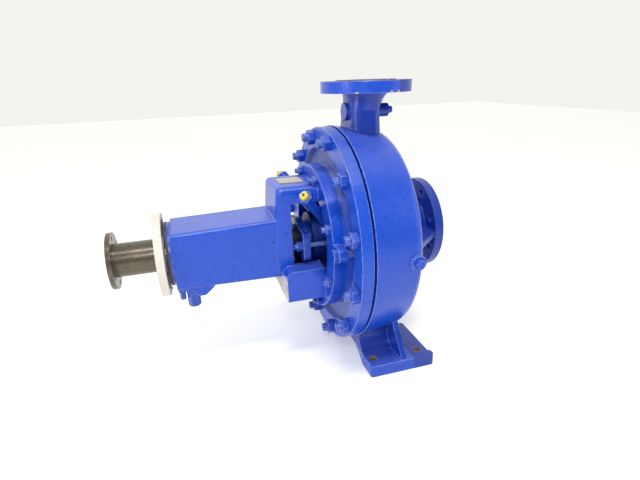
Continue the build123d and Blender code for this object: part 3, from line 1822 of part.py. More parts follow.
gland_face_x = box_x - gland_gap
gland_x = gland_face_x - gland_thickness
with BuildPart() as gland:
    with BuildSketch(across(gland_x)):
        Circle(gland_radius)
        RectangleRounded(
            (gland_stud_reach + gland_ear_radius) * 2,
            gland_plate_height,
            gland_plate_corner,
        )
    extrude(amount=gland_thickness)
    turn_ring(gland_face_x - 1, gland_face_x + gland_nose_length, 0, packing_radius - running_gap)
    turn_ring(
        gland_x - 1,
        gland_face_x + gland_nose_length + 1,
        0,
        sleeve_radius + gland_bore_gap,
        mode=Mode.SUBTRACT,
    )
    pair_rods(
        gland_x - 1,
        gland_face_x + 1,
        gland_stud_reach,
        0,
        gland_stud_radius + bolt_gap,
        mode=Mode.SUBTRACT,
    )
gland.part.label = "gland"
export_step(gland.part, "parts/gland.step")

with BuildPart() as gland_nuts:
    pair_hexes(gland_x - gland_nut_height, gland_x, gland_stud_reach, 0, gland_nut_flats)
    pair_rods(
        gland_x - gland_nut_height - 1,
        gland_x + 1,
        gland_stud_reach,
        0,
        gland_stud_radius + thread_gap,
        mode=Mode.SUBTRACT,
    )
gland_nuts.part.label = "gland_nuts"
export_step(gland_nuts.part, "parts/gland_nuts.step")

with BuildPart() as gland_studs:
    pair_rods(
        gland_x - gland_nut_height - gland_stud_tail,
        cover_inner_x - gland_boss_height + gland_stud_grip,
        gland_stud_reach,
        0,
        gland_stud_radius,
    )
gland_studs.part.label = "gland_studs"
export_step(gland_studs.part, "parts/gland_studs.step")

# Sealing-water nipples screwed into the stuffing box, with their sockets and caps
with BuildPart() as seal_water_nipples:
    for side in (-1, 1):
        nipple_rod(side, -nipple_grip, nipple_length, nipple_radius)
        nipple_rod(side, -nipple_grip - 1, nipple_length + 1, nipple_bore_radius, mode=Mode.SUBTRACT)
seal_water_nipples.part.label = "seal_water_nipples"
export_step(seal_water_nipples.part, "parts/seal_water_nipples.step")

with BuildPart() as nipple_sockets:
    for side in (-1, 1):
        with BuildSketch(nipple_plane(side, nipple_length - nipple_hex_length)) as socket_outline:
            RegularPolygon(nipple_hex_flats / 2, 6, major_radius=False)
            Circle(nipple_radius + thread_gap, mode=Mode.SUBTRACT)
        extrude(socket_outline.sketch, amount=nipple_hex_length)
nipple_sockets.part.label = "nipple_sockets"
export_step(nipple_sockets.part, "parts/nipple_sockets.step")

with BuildPart() as nipple_caps:
    for side in (-1, 1):
        nipple_rod(side, nipple_length - nipple_cap_plug, nipple_length, nipple_bore_radius - seat_gap)
        nipple_rod(side, nipple_length, nipple_length + nipple_cap_length, nipple_cap_head_radius)
nipple_caps.part.label = "nipple_caps"
export_step(nipple_caps.part, "parts/nipple_caps.step")
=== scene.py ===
import bmesh
import bpy
from math import cos, pi, radians, sin, tau
from mathutils import Matrix, Vector


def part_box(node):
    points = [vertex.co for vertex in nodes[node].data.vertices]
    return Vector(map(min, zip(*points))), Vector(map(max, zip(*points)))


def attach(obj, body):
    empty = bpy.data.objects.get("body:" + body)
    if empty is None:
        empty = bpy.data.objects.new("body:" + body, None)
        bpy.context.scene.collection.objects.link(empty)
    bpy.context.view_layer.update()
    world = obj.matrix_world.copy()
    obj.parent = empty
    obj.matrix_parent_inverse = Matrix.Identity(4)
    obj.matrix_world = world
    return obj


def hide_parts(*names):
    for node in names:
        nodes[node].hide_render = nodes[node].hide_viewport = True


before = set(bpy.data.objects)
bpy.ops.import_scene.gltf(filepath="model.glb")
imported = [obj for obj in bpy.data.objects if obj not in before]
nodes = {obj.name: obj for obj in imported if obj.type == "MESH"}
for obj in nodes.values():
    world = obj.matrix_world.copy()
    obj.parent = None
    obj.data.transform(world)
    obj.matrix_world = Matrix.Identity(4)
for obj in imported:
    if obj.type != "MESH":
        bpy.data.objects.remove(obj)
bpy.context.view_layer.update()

# The studio: a pale floor and soft light from above and in front.
# The camera stands where the photograph was taken, a little above the pump and off its drive end.
camera_place = (-0.4005, -0.9533, 0.6326)
camera_turn = radians(16.391)
camera_dip = radians(20.351)
camera_roll = radians(-1.895)
level_forward = Vector((sin(camera_turn), cos(camera_turn), 0.0))
level_right = Vector((cos(camera_turn), -sin(camera_turn), 0.0))
view_forward = level_forward * cos(camera_dip) - Vector((0.0, 0.0, sin(camera_dip)))
level_up = level_right.cross(view_forward)
view_right = level_right * cos(camera_roll) + level_up * sin(camera_roll)
view_up = level_up * cos(camera_roll) - level_right * sin(camera_roll)
camera_data = bpy.data.cameras.new("camera")
camera_data.lens = 24.75
camera_data.sensor_width = 36.0
camera = bpy.data.objects.new("camera", camera_data)
camera_axes = Matrix((view_right, view_up, -view_forward)).transposed().to_4x4()
camera.matrix_world = Matrix.Translation(camera_place) @ camera_axes
bpy.context.scene.collection.objects.link(camera)
bpy.context.scene.camera = camera
bpy.context.scene.view_settings.view_transform = "Standard"


def srgb(code):
    """Turn an sRGB hex colour into linear values."""
    parts = [int(code[start:start + 2], 16) / 255 for start in (0, 2, 4)]
    return [part / 12.92 if part <= 0.04045 else ((part + 0.055) / 1.055) ** 2.4 for part in parts] + [1.0]


def put(material, kind, settings=None, sockets=None):
    """Add one node, set its options, and fill its sockets with values or links."""
    node = material.node_tree.nodes.new(kind)
    for option, value in (settings or {}).items():
        setattr(node, option, value)
    for socket, value in (sockets or {}).items():
        if isinstance(value, bpy.types.NodeSocket):
            material.node_tree.links.new(value, node.inputs[socket])
        else:
            node.inputs[socket].default_value = value
    return node


def soft_lamp(name, place, target, width, depth, watts):
    """A rectangular lamp that looks at a point of the pump, its width level."""
    data = bpy.data.lights.new(name, "AREA")
    data.shape = "RECTANGLE"
    data.size = width
    data.size_y = depth
    data.energy = watts
    lamp = bpy.data.objects.new(name, data)
    lamp.location = place
    lamp.rotation_euler = (Vector(target) - Vector(place)).to_track_quat("-Z", "Y").to_euler()
    bpy.context.scene.collection.objects.link(lamp)


lantern_middle = (-0.2, 0.0, 0.3)
casing_middle = (0.0, 0.0, 0.3)
cover_middle = (-0.1, 0.0, 0.3)
soft_lamp("roof_lamp", (-0.2, -0.9, 2.6), lantern_middle, 1.1, 0.4, 32.0)
soft_lamp("left_lamp", (-2.5, -0.9, 1.0), lantern_middle, 1.0, 1.0, 15.0)
soft_lamp("right_lamp", (1.8, -1.0, 1.0), casing_middle, 1.2, 1.2, 6.0)
soft_lamp("window_lamp", (-0.46, -1.10, 1.02), cover_middle, 0.2, 0.2, 5.0)

world = bpy.data.worlds.new("studio")
bpy.context.scene.world = world
world.use_nodes = True
backdrop = world.node_tree.nodes["Background"]
rays = put(world, "ShaderNodeLightPath")
aim = put(world, "ShaderNodeTexCoord")
aim_parts = put(world, "ShaderNodeSeparateXYZ", {}, {0: aim.outputs["Generated"]})
# The light that comes from behind the pump is the brightest, and from the camera's side it is dimmer
room = put(world, "ShaderNodeMapRange", {},
           {"Value": aim_parts.outputs[1], "From Min": -0.6, "From Max": 0.8,
            "To Min": 0.40, "To Max": 1.4})
strength = put(world, "ShaderNodeMix", {},
               {0: rays.outputs["Is Camera Ray"], 2: room.outputs[0], 3: 1.0})
world.node_tree.links.new(strength.outputs[0], backdrop.inputs["Strength"])
backdrop.inputs["Color"].default_value = srgb("f3f3ef")

floor_mesh = bpy.data.meshes.new("floor")
floor_mesh.from_pydata([(-6, -4, 0), (6, -4, 0), (6, 8, 0), (-6, 8, 0)], [], [(0, 1, 2, 3)])
floor = bpy.data.objects.new("floor", floor_mesh)
bpy.context.scene.collection.objects.link(floor)
floor_paint = bpy.data.materials.new("pale_floor")
floor_paint.use_nodes = True
floor_shader = floor_paint.node_tree.nodes["Principled BSDF"]
floor_shader.inputs["Base Color"].default_value = srgb("e9e9e7")
floor_shader.inputs["Roughness"].default_value = 0.6
floor_shader.inputs["Emission Color"].default_value = srgb("fdfdfc")
floor_shader.inputs["Emission Strength"].default_value = 0.3
floor_mesh.materials.append(floor_paint)

# Volute casing: one grey-iron sand casting with the spiral passage, both flanges and the feet.
# It is brushed and sprayed with blue gloss enamel over a slightly grainy cast skin,
# and its flange faces and holes are bare, brown with flash rust.


def enamelled_iron(name, blue, deep_blue, dust):
    """Gloss enamel on cast iron: cloudy blue, pale painted highlights along the edges, dust on what faces
    up.
    """
    material = bpy.data.materials.new(name)
    material.use_nodes = True
    spot = put(material, "ShaderNodeTexCoord").outputs["Object"]
    cloud = put(material, "ShaderNodeTexNoise", {}, {"Vector": spot, "Scale": 110.0, "Detail": 6.0})
    thickness = put(material, "ShaderNodeMapRange", {},
                    {"Value": cloud.outputs[0], "From Min": 0.05, "From Max": 0.95})
    body = put(material, "ShaderNodeMix", {"data_type": "RGBA"},
               {0: thickness.outputs[0], 6: srgb(deep_blue), 7: srgb(blue)})
    soft_edge = put(material, "ShaderNodeBevel", {"samples": 6}, {"Radius": 0.0036})
    facing = put(material, "ShaderNodeNewGeometry")
    # Pale blue laid along the edges and broken into dashes is a painted highlight, where light glints on
    # rounded edges
    turn = put(material, "ShaderNodeVectorMath", {"operation": "DOT_PRODUCT"},
               {0: soft_edge.outputs[0], 1: facing.outputs["Normal"]})
    edge = put(material, "ShaderNodeMapRange", {},
               {"Value": turn.outputs["Value"], "From Min": 0.97, "From Max": 0.80})
    speckle = put(material, "ShaderNodeTexNoise", {}, {"Vector": spot, "Scale": 260.0, "Detail": 2.0})
    broken = put(material, "ShaderNodeMapRange", {},
                 {"Value": speckle.outputs[0], "From Min": 0.30, "From Max": 0.62})
    painted_edge_glint = put(material, "ShaderNodeMath", {"operation": "MULTIPLY"},
               {0: edge.outputs[0], 1: broken.outputs[0]})
    painted_edge_glint_share = put(material, "ShaderNodeMath", {"operation": "MULTIPLY"}, {0: painted_edge_glint.outputs[0], 1: 0.8})
    edge_glinted = put(material, "ShaderNodeMix", {"data_type": "RGBA"},
                {0: painted_edge_glint_share.outputs[0], 6: body.outputs[2], 7: srgb("b0c2f6")})
    upward = put(material, "ShaderNodeSeparateXYZ", {}, {0: facing.outputs["Normal"]})
    level = put(material, "ShaderNodeMapRange", {},
                {"Value": upward.outputs[2], "From Min": 0.55, "From Max": 1.0, "To Max": dust})
    drift = put(material, "ShaderNodeTexNoise", {}, {"Vector": spot, "Scale": 34.0, "Detail": 6.0})
    lying = put(material, "ShaderNodeMath", {"operation": "MULTIPLY"},
                {0: level.outputs[0], 1: drift.outputs[0]})
    dusty = put(material, "ShaderNodeMix", {"data_type": "RGBA"},
                {0: lying.outputs[0], 6: edge_glinted.outputs[2], 7: srgb("9d9a92")})
    # The sprayed coat follows the cast skin: 25 mm swells and 3 mm grains
    swell = put(material, "ShaderNodeTexNoise", {}, {"Vector": spot, "Scale": 38.0, "Detail": 2.0})
    swelling = put(material, "ShaderNodeBump", {},
                   {"Strength": 0.5, "Distance": 0.0014, "Height": swell.outputs[0],
                    "Normal": soft_edge.outputs[0]})
    wave = put(material, "ShaderNodeTexNoise", {}, {"Vector": spot, "Scale": 300.0, "Detail": 3.0})
    grainy = put(material, "ShaderNodeBump", {},
               {"Strength": 0.5, "Distance": 0.0009, "Height": wave.outputs[0],
                "Normal": swelling.outputs[0]})
    gloss = put(material, "ShaderNodeMapRange", {},
                {"Value": lying.outputs[0], "From Max": 0.5, "To Min": 0.24, "To Max": 0.75})
    shader = material.node_tree.nodes["Principled BSDF"]
    shader.inputs["IOR"].default_value = 1.5
    material.node_tree.links.new(grainy.outputs[0], shader.inputs["Normal"])
    return {"material": material, "spot": spot, "colour": dusty.outputs[2], "roughness": gloss.outputs[0],
            "speckle": speckle.outputs[0], "cloud": drift.outputs[0]}


def overlay(paint, where, colour, roughness):
    """Lay another finish over the enamel where a mask is one."""
    material = paint["material"]
    paint["colour"] = put(material, "ShaderNodeMix", {"data_type": "RGBA"},
                          {0: where, 6: paint["colour"], 7: colour}).outputs[2]
    paint["roughness"] = put(material, "ShaderNodeMix", {},
                             {0: where, 2: paint["roughness"], 3: roughness}).outputs[0]


def dress(paint, *names):
    """Link a finished paint to its shader and give it to CAD nodes."""
    material = paint["material"]
    shader = material.node_tree.nodes["Principled BSDF"]
    material.node_tree.links.new(paint["colour"], shader.inputs["Base Color"])
    material.node_tree.links.new(paint["roughness"], shader.inputs["Roughness"])
    for name in names:
        for slot in nodes[name].material_slots:
            slot.material = material


def mask(paint, value, low, high):
    """One where a value lies above low and below high, with a soft step a millimetre wide at each end."""
    material = paint["material"]
    step = 0.0005
    over = put(material, "ShaderNodeMapRange", {},
               {"Value": value, "From Min": low - step, "From Max": low + step}).outputs[0]
    under = put(material, "ShaderNodeMapRange", {},
                {"Value": value, "From Min": high + step, "From Max": high - step}).outputs[0]
    return put(material, "ShaderNodeMath", {"operation": "MULTIPLY"}, {0: over, 1: under}).outputs[0]


def both(paint, first, second):
    """Where two masks meet."""
    return put(paint["material"], "ShaderNodeMath", {"operation": "MULTIPLY"},
               {0: first, 1: second}).outputs[0]


def reach(paint, centre, along):
    """Distance from an axis through centre, along X or Z."""
    material = paint["material"]
    flat = (0.0, 1.0, 1.0) if along == "X" else (1.0, 1.0, 0.0)
    offset = put(material, "ShaderNodeVectorMath", {"operation": "SUBTRACT"},
                 {0: paint["spot"], 1: centre})
    square = put(material, "ShaderNodeVectorMath", {"operation": "MULTIPLY"},
                 {0: offset.outputs[0], 1: flat})
    length = put(material, "ShaderNodeVectorMath", {"operation": "LENGTH"}, {0: square.outputs[0]})
    return length.outputs["Value"]


def near(paint, place, radius):
    """One within a radius of a point, ragged at its edge like chipped paint."""
    material = paint["material"]
    offset = put(material, "ShaderNodeVectorMath", {"operation": "DISTANCE"}, {0: paint["spot"], 1: place})
    ragged = put(material, "ShaderNodeMath", {"operation": "MULTIPLY_ADD"},
                 {0: paint["speckle"], 1: radius * 1.6, 2: offset.outputs["Value"]})
    chip = put(material, "ShaderNodeMapRange", {},
               {"Value": ragged.outputs[0], "From Min": radius * 1.75, "From Max": radius * 1.55})
    return chip.outputs[0]


shaft_height = 0.280
# Lower than any place in the model, for masks that only have an upper end
beyond = -1.0
casing_rear = 0.032
back_shade_end = 0.149
suction_bore_radius = 0.0505
discharge_x = -0.004
discharge_bore_radius = 0.0405
neck_low = 0.505
neck_high = 0.597
neck_reach = 0.075
foot_top = 0.0285
web_top = 0.0800
foot_bolt_x = 0.055
foot_bolt_y = 0.175
foot_hole_radius = 0.0098
foot_hole_top = 0.0290
flange_edge = 0.6215
flange_face = 0.6235
above_pump = 0.70
bore_low = 0.583
suction_face = 0.1495
past_pump = 0.2
casing_paint = enamelled_iron("gloss_enamel_casing", "154fc9", "0838a8", 0.25)
place = put(casing_paint["material"], "ShaderNodeSeparateXYZ", {}, {0: casing_paint["spot"]})
rust = put(casing_paint["material"], "ShaderNodeMix", {"data_type": "RGBA"},
           {0: casing_paint["speckle"], 6: srgb("4b3e37"), 7: srgb("7d6b5b")}).outputs[2]
# The back of the casing and its suction flange are painted a darker blue, as painted shade on the side away
# from the light
behind = mask(casing_paint, place.outputs[0], casing_rear, back_shade_end)
back_painted_shade = put(casing_paint["material"], "ShaderNodeMath", {"operation": "MULTIPLY"},
                {0: behind, 1: 0.7}).outputs[0]
overlay(casing_paint, back_painted_shade, srgb("0b2a84"), 0.4)
# Round the neck and in the hollows of the feet the blue is painted darker and glossier, as painted shade
# under the discharge flange and under the casing
discharge_reach = reach(casing_paint, (discharge_x, 0.0, 0.0), "Z")
neck_painted_shade = both(casing_paint, mask(casing_paint, place.outputs[2], neck_low, neck_high),
                 mask(casing_paint, discharge_reach, beyond, neck_reach))
foot_hollow_painted_shade = both(casing_paint, mask(casing_paint, place.outputs[2], foot_top, web_top),
                 casing_paint["cloud"])
for shaded_area, share in ((neck_painted_shade, 0.55), (foot_hollow_painted_shade, 0.9)):
    painted_shade_blue = put(casing_paint["material"], "ShaderNodeMath", {"operation": "MULTIPLY"},
                     {0: shaded_area, 1: share})
    overlay(casing_paint, painted_shade_blue.outputs[0], srgb("082c90"), 0.14)
face_top = mask(casing_paint, place.outputs[2], flange_face, above_pump)
overlay(casing_paint, face_top, rust, 0.75)
rim_top = mask(casing_paint, place.outputs[2], flange_edge, flange_face)
rusty_rim = both(casing_paint, rim_top, casing_paint["cloud"])
overlay(casing_paint, rusty_rim, srgb("4a3a48"), 0.7)
discharge_bore = both(casing_paint, mask(casing_paint, discharge_reach, beyond, discharge_bore_radius),
                      mask(casing_paint, place.outputs[2], bore_low, above_pump))
overlay(casing_paint, discharge_bore, srgb("3c2f28"), 0.8)
suction_reach = reach(casing_paint, (0.0, 0.0, shaft_height), "X")
inside = both(casing_paint, mask(casing_paint, suction_reach, beyond, suction_bore_radius),
              mask(casing_paint, place.outputs[0], 0.0, past_pump))
overlay(casing_paint, inside, srgb("3c2f28"), 0.8)
suction_front = mask(casing_paint, place.outputs[0], suction_face, past_pump)
overlay(casing_paint, suction_front, rust, 0.75)
# Bare iron shows in the foot bolt holes and in a few chips on the discharge flange
for bolt_x in (-foot_bolt_x, foot_bolt_x):
    for bolt_y in (-foot_bolt_y, foot_bolt_y):
        bolt_reach = reach(casing_paint, (bolt_x, bolt_y, 0.0), "Z")
        bare_hole = both(casing_paint, mask(casing_paint, bolt_reach, beyond, foot_hole_radius),
                         mask(casing_paint, place.outputs[2], beyond, foot_hole_top))
        overlay(casing_paint, bare_hole, srgb("8c7a60"), 0.8)
for chip in ((0.012, -0.0985, 0.5985), (-0.058, -0.084, 0.5985), (0.030, -0.094, 0.5990)):
    overlay(casing_paint, near(casing_paint, chip, 0.004), srgb("b8a98c"), 0.7)
dress(casing_paint, "volute_casing")

# Casing cover: a dished iron disc that closes the drive side and carries the stuffing box.
# Grey dust lies in its recess, at the top and the bottom, where the spray gun did not reach.
recess_inner_radius = 0.150
recess_outer_radius = 0.208
recess_front = -0.1105
recess_back = -0.085
stuffing_box_radius = 0.090
stuffing_box_front = -0.200
stuffing_box_back = -0.112
cover_paint = enamelled_iron("gloss_enamel_cover", "1852c9", "0b3baa", 0.35)
place = put(cover_paint["material"], "ShaderNodeSeparateXYZ", {}, {0: cover_paint["spot"]})
cover_reach = reach(cover_paint, (0.0, 0.0, shaft_height), "X")
recess = both(cover_paint, mask(cover_paint, cover_reach, recess_inner_radius, recess_outer_radius),
              mask(cover_paint, place.outputs[0], recess_front, recess_back))
patchy = put(cover_paint["material"], "ShaderNodeMapRange", {},
             {"Value": cover_paint["cloud"], "From Min": 0.3, "From Max": 0.6,
              "To Min": 0.25, "To Max": 0.7})
rise = put(cover_paint["material"], "ShaderNodeMath", {"operation": "SUBTRACT"},
           {0: place.outputs[2], 1: shaft_height})
off_level = put(cover_paint["material"], "ShaderNodeMath", {"operation": "ABSOLUTE"}, {0: rise.outputs[0]})
far_out = put(cover_paint["material"], "ShaderNodeMapRange", {},
              {"Value": off_level.outputs[0], "From Min": 0.05, "From Max": 0.16,
               "To Min": 0.15, "To Max": 1.0})
dust_bed = both(cover_paint, both(cover_paint, recess, patchy.outputs[0]), far_out.outputs[0])
overlay(cover_paint, dust_bed, srgb("7f86a8"), 0.8)
# The stuffing box inside the lantern is free of dust, and its darker blue is painted shade
stuffing_box = both(cover_paint, mask(cover_paint, cover_reach, beyond, stuffing_box_radius),
                    mask(cover_paint, place.outputs[0], stuffing_box_front, stuffing_box_back))
overlay(cover_paint, stuffing_box, srgb("0d2f8c"), 0.4)
dress(cover_paint, "casing_cover")

# Bearing frame: housing, lantern and adapter ring in one iron casting, enamelled like the casing.
# The end of its lower block was masked off and shows beige primer; the inside, never sprayed, is painted
# near-black, partly as grimy bare iron and partly as painted shade.
block_front = -0.2300
block_skin = -0.2272
block_bottom = 0.100
block_top = 0.2180
room_floor = 0.181
room_ceiling = 0.4005
room_half_width = 0.0575
room_front = -0.2085
room_back = -0.1150
frame_paint = enamelled_iron("gloss_enamel_frame", "1550ca", "0839a9", 0.2)
place = put(frame_paint["material"], "ShaderNodeSeparateXYZ", {}, {0: frame_paint["spot"]})
block_end = both(frame_paint, mask(frame_paint, place.outputs[0], block_front, block_skin),
                 mask(frame_paint, place.outputs[2], block_bottom, block_top))
blotchy = put(frame_paint["material"], "ShaderNodeMapRange", {},
              {"Value": frame_paint["cloud"], "From Min": 0.35, "From Max": 0.50,
               "To Min": 0.55, "To Max": 1.0})
overlay(frame_paint, both(frame_paint, block_end, blotchy.outputs[0]), srgb("cdc3b6"), 0.8)
# Near-black inside the lantern: grimy unpainted iron, and painted shade in the closed room behind the
# window
room_height = mask(frame_paint, place.outputs[2], room_floor, room_ceiling)
room_width = both(frame_paint, mask(frame_paint, place.outputs[1], -room_half_width, room_half_width),
                  mask(frame_paint, place.outputs[0], room_front, room_back))
overlay(frame_paint, both(frame_paint, room_height, room_width), srgb("16130f"), 0.7)
for speck in ((-0.215, -0.068, 0.315), (-0.246, -0.066, 0.298), (-0.236, -0.067, 0.262)):
    overlay(frame_paint, near(frame_paint, speck, 0.0022), srgb("151a30"), 0.6)
dress(frame_paint, "bearing_frame")

# Studs, nuts and plugs: turned steel, sprayed over with the same blue after the pump was put together.
# Threads, chamfers and hexagons are modelled, because the paint leaves them plain to see.
fastener_paint = enamelled_iron("gloss_enamel_fasteners", "194fc1", "0a369f", 0.25)
dress(fastener_paint, "drain_plug", "gauge_plugs", "seal_water_nipples")
dress(enamelled_iron("gloss_enamel_gland", "1546b6", "08308f", 0.0), "gland")


def shaftwise(x, y, z, angle=0.0):
    """Matrix at a point, its Z along the pump's shaft, its X at an angle to the part's Y."""
    axes = Matrix(((0, 0, 1), (cos(angle), -sin(angle), 0), (sin(angle), cos(angle), 0)))
    return Matrix.Translation((x, y, z)) @ axes.to_4x4()


def skin(shape, matrix, rings, count=36):
    """Join rings into one closed skin; each gives (radius, height) for an angle round the matrix's Z."""
    rows = []
    for ring in rings:
        row = []
        for step in range(count):
            angle = tau * step / count
            radius, height = ring(angle)
            row.append(shape.verts.new(matrix @ Vector((radius * cos(angle), radius * sin(angle), height))))
        rows.append(row)
    faces = []
    for low, high in zip(rows, rows[1:]):
        for step in range(count):
            after = (step + 1) % count
            faces.append(shape.faces.new((low[step], low[after], high[after], high[step])))
    faces.append(shape.faces.new(rows[0][::-1]))
    faces.append(shape.faces.new(rows[-1]))
    return faces


def plain_ring(radius, height):
    """A round ring for skin."""
    return lambda angle: (radius, height)


def thread_ring(radius, depth, pitch, height):
    """One ring of a screw thread whose ridge climbs a pitch with each turn."""
    return lambda angle: (radius - depth * abs(2 * ((height / pitch - angle / tau) % 1.0) - 1), height)


def add_rod(shape, matrix, radius, pitch, length, threads):
    """A round rod with chamfered ends, threaded from each (start, end) in threads."""
    chamfer = 0.0008
    rings_per_turn = 6
    thread_depth = pitch * 0.42
    rings = [plain_ring(radius * 0.8, 0.0)]
    height = 0.0
    for start, end in threads:
        rings.append(plain_ring(radius, max(start, height + chamfer)))
        steps = max(2, round((end - start) / pitch * rings_per_turn))
        for step in range(1, steps):
            level = start + chamfer + (end - start - 2 * chamfer) * step / steps
            rings.append(thread_ring(radius, thread_depth, pitch, level))
        rings.append(plain_ring(radius, end))
        height = end
    if height < length - 0.002:
        rings.append(plain_ring(radius, length - 0.001))
    rings.append(plain_ring(radius * 0.8, length))
    skin(shape, matrix, rings, 24)


# A hexagon's end is a circle of this share of its flats, and its chamfer rises 30 degrees from there
end_circle = 0.475
chamfer_slope = 0.577


def hex_ring(flats, height, slant):
    """A hexagonal ring whose corners drop by the cut of a chamfer."""
    def at(angle):
        corner = flats / 2 / cos(angle % (pi / 3) - pi / 6)
        return corner, height + slant * (corner - flats * end_circle) * chamfer_slope
    return at


def add_hexagon(shape, matrix, flats, height, bore=0.0):
    """A hexagon with both ends chamfered and, where it has a bore, a countersink at each end of it."""
    end_radius = flats * end_circle
    rings = [plain_ring(end_radius, 0.0), hex_ring(flats, 0.0, 1.0),
             hex_ring(flats, height, -1.0), plain_ring(end_radius, height)]
    if bore:
        sink = 0.001
        mouth = bore * 1.12
        rings = [plain_ring(bore, sink), plain_ring(mouth, 0.0)] + rings
        rings = rings + [plain_ring(mouth, height), plain_ring(bore, height - sink)]
    skin(shape, matrix, rings, 48)


def add_piece(shape, name, material, body, slot, smooth, *stands_for):
    """Turn mesh code into a piece that rides on a body in the place of CAD nodes."""
    bmesh.ops.recalc_face_normals(shape, faces=shape.faces)
    data = bpy.data.meshes.new(name)
    shape.to_mesh(data)
    shape.free()
    data.materials.append(material)
    for polygon in data.polygons:
        polygon.use_smooth = smooth
    piece = bpy.data.objects.new(name, data)
    bpy.context.scene.collection.objects.link(piece)
    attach(piece, body)
    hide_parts(*stands_for)
    return piece


def bolt_places(circle, count, first):
    """(y, z, angle) of each bolt on a circle about the shaft."""
    angles = [radians(90 - first + 360 * step / count) for step in range(count)]
    return [(circle / 2 * cos(angle), shaft_height + circle / 2 * sin(angle), angle) for angle in angles]


def add_studs(name, node, places, radius, pitch, tail, grip):
    """Threaded studs from a CAD node's ends, their tails and the roots that show threaded."""
    low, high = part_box(node)
    shape = bmesh.new()
    length = high[0] - low[0]
    threads = [(0.0, tail), (length - grip, length)]
    for y, z, _ in places:
        add_rod(shape, shaftwise(low[0], y, z), radius, pitch, length, threads)
    add_piece(shape, name, fastener_paint["material"], "pump", "fastener_paint", True, node)


def add_nuts(name, node, places, flats, bore, body="pump"):
    """Chamfered nuts between a CAD node's ends."""
    low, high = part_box(node)
    shape = bmesh.new()
    for y, z, angle in places:
        add_hexagon(shape, shaftwise(low[0], y, z, angle), flats, high[0] - low[0], bore)
    add_piece(shape, name, fastener_paint["material"], body, "fastener_paint", False, node)


m20_radius = 0.010
m20_pitch = 0.0025
m20_flats = 0.030
m12_radius = 0.006
m12_pitch = 0.00175
m12_flats = 0.019
thread_gap = 0.00005
root_grip = 0.012
cover_bolts = bolt_places(0.456, 12, 15)
ring_bolts = bolt_places(0.312, 8, 22.5)
gland_bolts = [(-0.064, shaft_height, 0.0), (0.064, shaft_height, 0.0)]
add_studs("casing_stud_threads", "casing_studs", cover_bolts, m20_radius, m20_pitch, 0.013, root_grip)
add_nuts("casing_hex_nuts", "casing_nuts", cover_bolts, m20_flats, m20_radius + thread_gap)
add_studs("frame_stud_threads", "frame_studs", ring_bolts, m12_radius, m12_pitch, 0.010, root_grip)
add_nuts("frame_hex_nuts", "frame_nuts", ring_bolts, m12_flats, m12_radius + thread_gap)
add_studs("gland_stud_threads", "gland_studs", gland_bolts, m12_radius, m12_pitch, 0.090, root_grip)
add_nuts("gland_hex_nuts", "gland_nuts", gland_bolts, m12_flats, m12_radius + thread_gap, "gland")

# A head and its shank overlap by this much, so that no gap shows between them
overlap = 0.0002
jack_reach = 0.188
jack_height = shaft_height + 0.018
jack_head = 0.010
jack_low, jack_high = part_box("jack_screws")
shank_start = jack_low[0] + jack_head - overlap
shank_length = jack_high[0] - shank_start
jacks = bmesh.new()
for side in (-1, 1):
    add_hexagon(jacks, shaftwise(jack_low[0], side * jack_reach, jack_height), 0.024, jack_head)
    add_rod(jacks, shaftwise(shank_start, side * jack_reach, jack_height), 0.008, 0.002, shank_length,
            [(0.0, shank_length - 0.002)])
add_piece(jacks, "jack_screw_threads", fastener_paint["material"], "pump", "fastener_paint", False,
          "jack_screws")

side_plug_x = 0.012
side_plug_head = 0.008
side_plug_root = 0.009
side_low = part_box("side_plug")[0]
side_plug = bmesh.new()
side_place = Matrix.Translation((side_plug_x, side_low[1] + side_plug_head, shaft_height))
side_turn = side_place @ Matrix.Rotation(radians(90), 4, "X")
add_hexagon(side_plug, side_turn, 0.017, side_plug_head)
skin(side_plug, side_turn, [plain_ring(side_plug_root, -0.012), plain_ring(side_plug_root, overlap)])
add_piece(side_plug, "side_plug_head", fastener_paint["material"], "pump", "fastener_paint", False,
          "side_plug")

for node, flats, head, root in (("oil_drain_plug", 0.024, 0.030, 0.009),
                                ("housing_plug", 0.011, 0.018, 0.004)):
    low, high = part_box(node)
    under = Matrix.Translation(((low[0] + high[0]) / 2, (low[1] + high[1]) / 2, low[2]))
    plug = bmesh.new()
    add_hexagon(plug, under, flats, head)
    skin(plug, under, [plain_ring(root, head - overlap), plain_ring(root, high[2] - low[2])])
    add_piece(plug, node + "_head", fastener_paint["material"], "pump", "fastener_paint", False, node)

# Sealing-water nipples: two pipes screwed into the stuffing box, each with a hexagon socket at its end.
# Their plugs are wound with yellow thread tape, and only the plugs' ends got any paint.
tape = bpy.data.materials.new("yellow_thread_tape")
tape.use_nodes = True
tape_spot = put(tape, "ShaderNodeTexCoord").outputs["Object"]
tape_fold = put(tape, "ShaderNodeTexNoise", {}, {"Vector": tape_spot, "Scale": 420.0, "Detail": 3.0})
tape_tone = put(tape, "ShaderNodeMix", {"data_type": "RGBA"},
                {0: tape_fold.outputs[0], 6: srgb("b5a310"), 7: srgb("f4e23c")})
tape_shader = tape.node_tree.nodes["Principled BSDF"]
tape_shader.inputs["Roughness"].default_value = 0.45
tape.node_tree.links.new(tape_tone.outputs[2], tape_shader.inputs["Base Color"])


def folded_ring(radius, height):
    """A ring of tape wound over a square head, with folds in it."""
    def at(angle):
        corners = 0.09 * cos(4 * angle)
        folds = 0.04 * sin(7 * angle + 900 * height)
        return radius * (1 + corners + folds), height
    return at


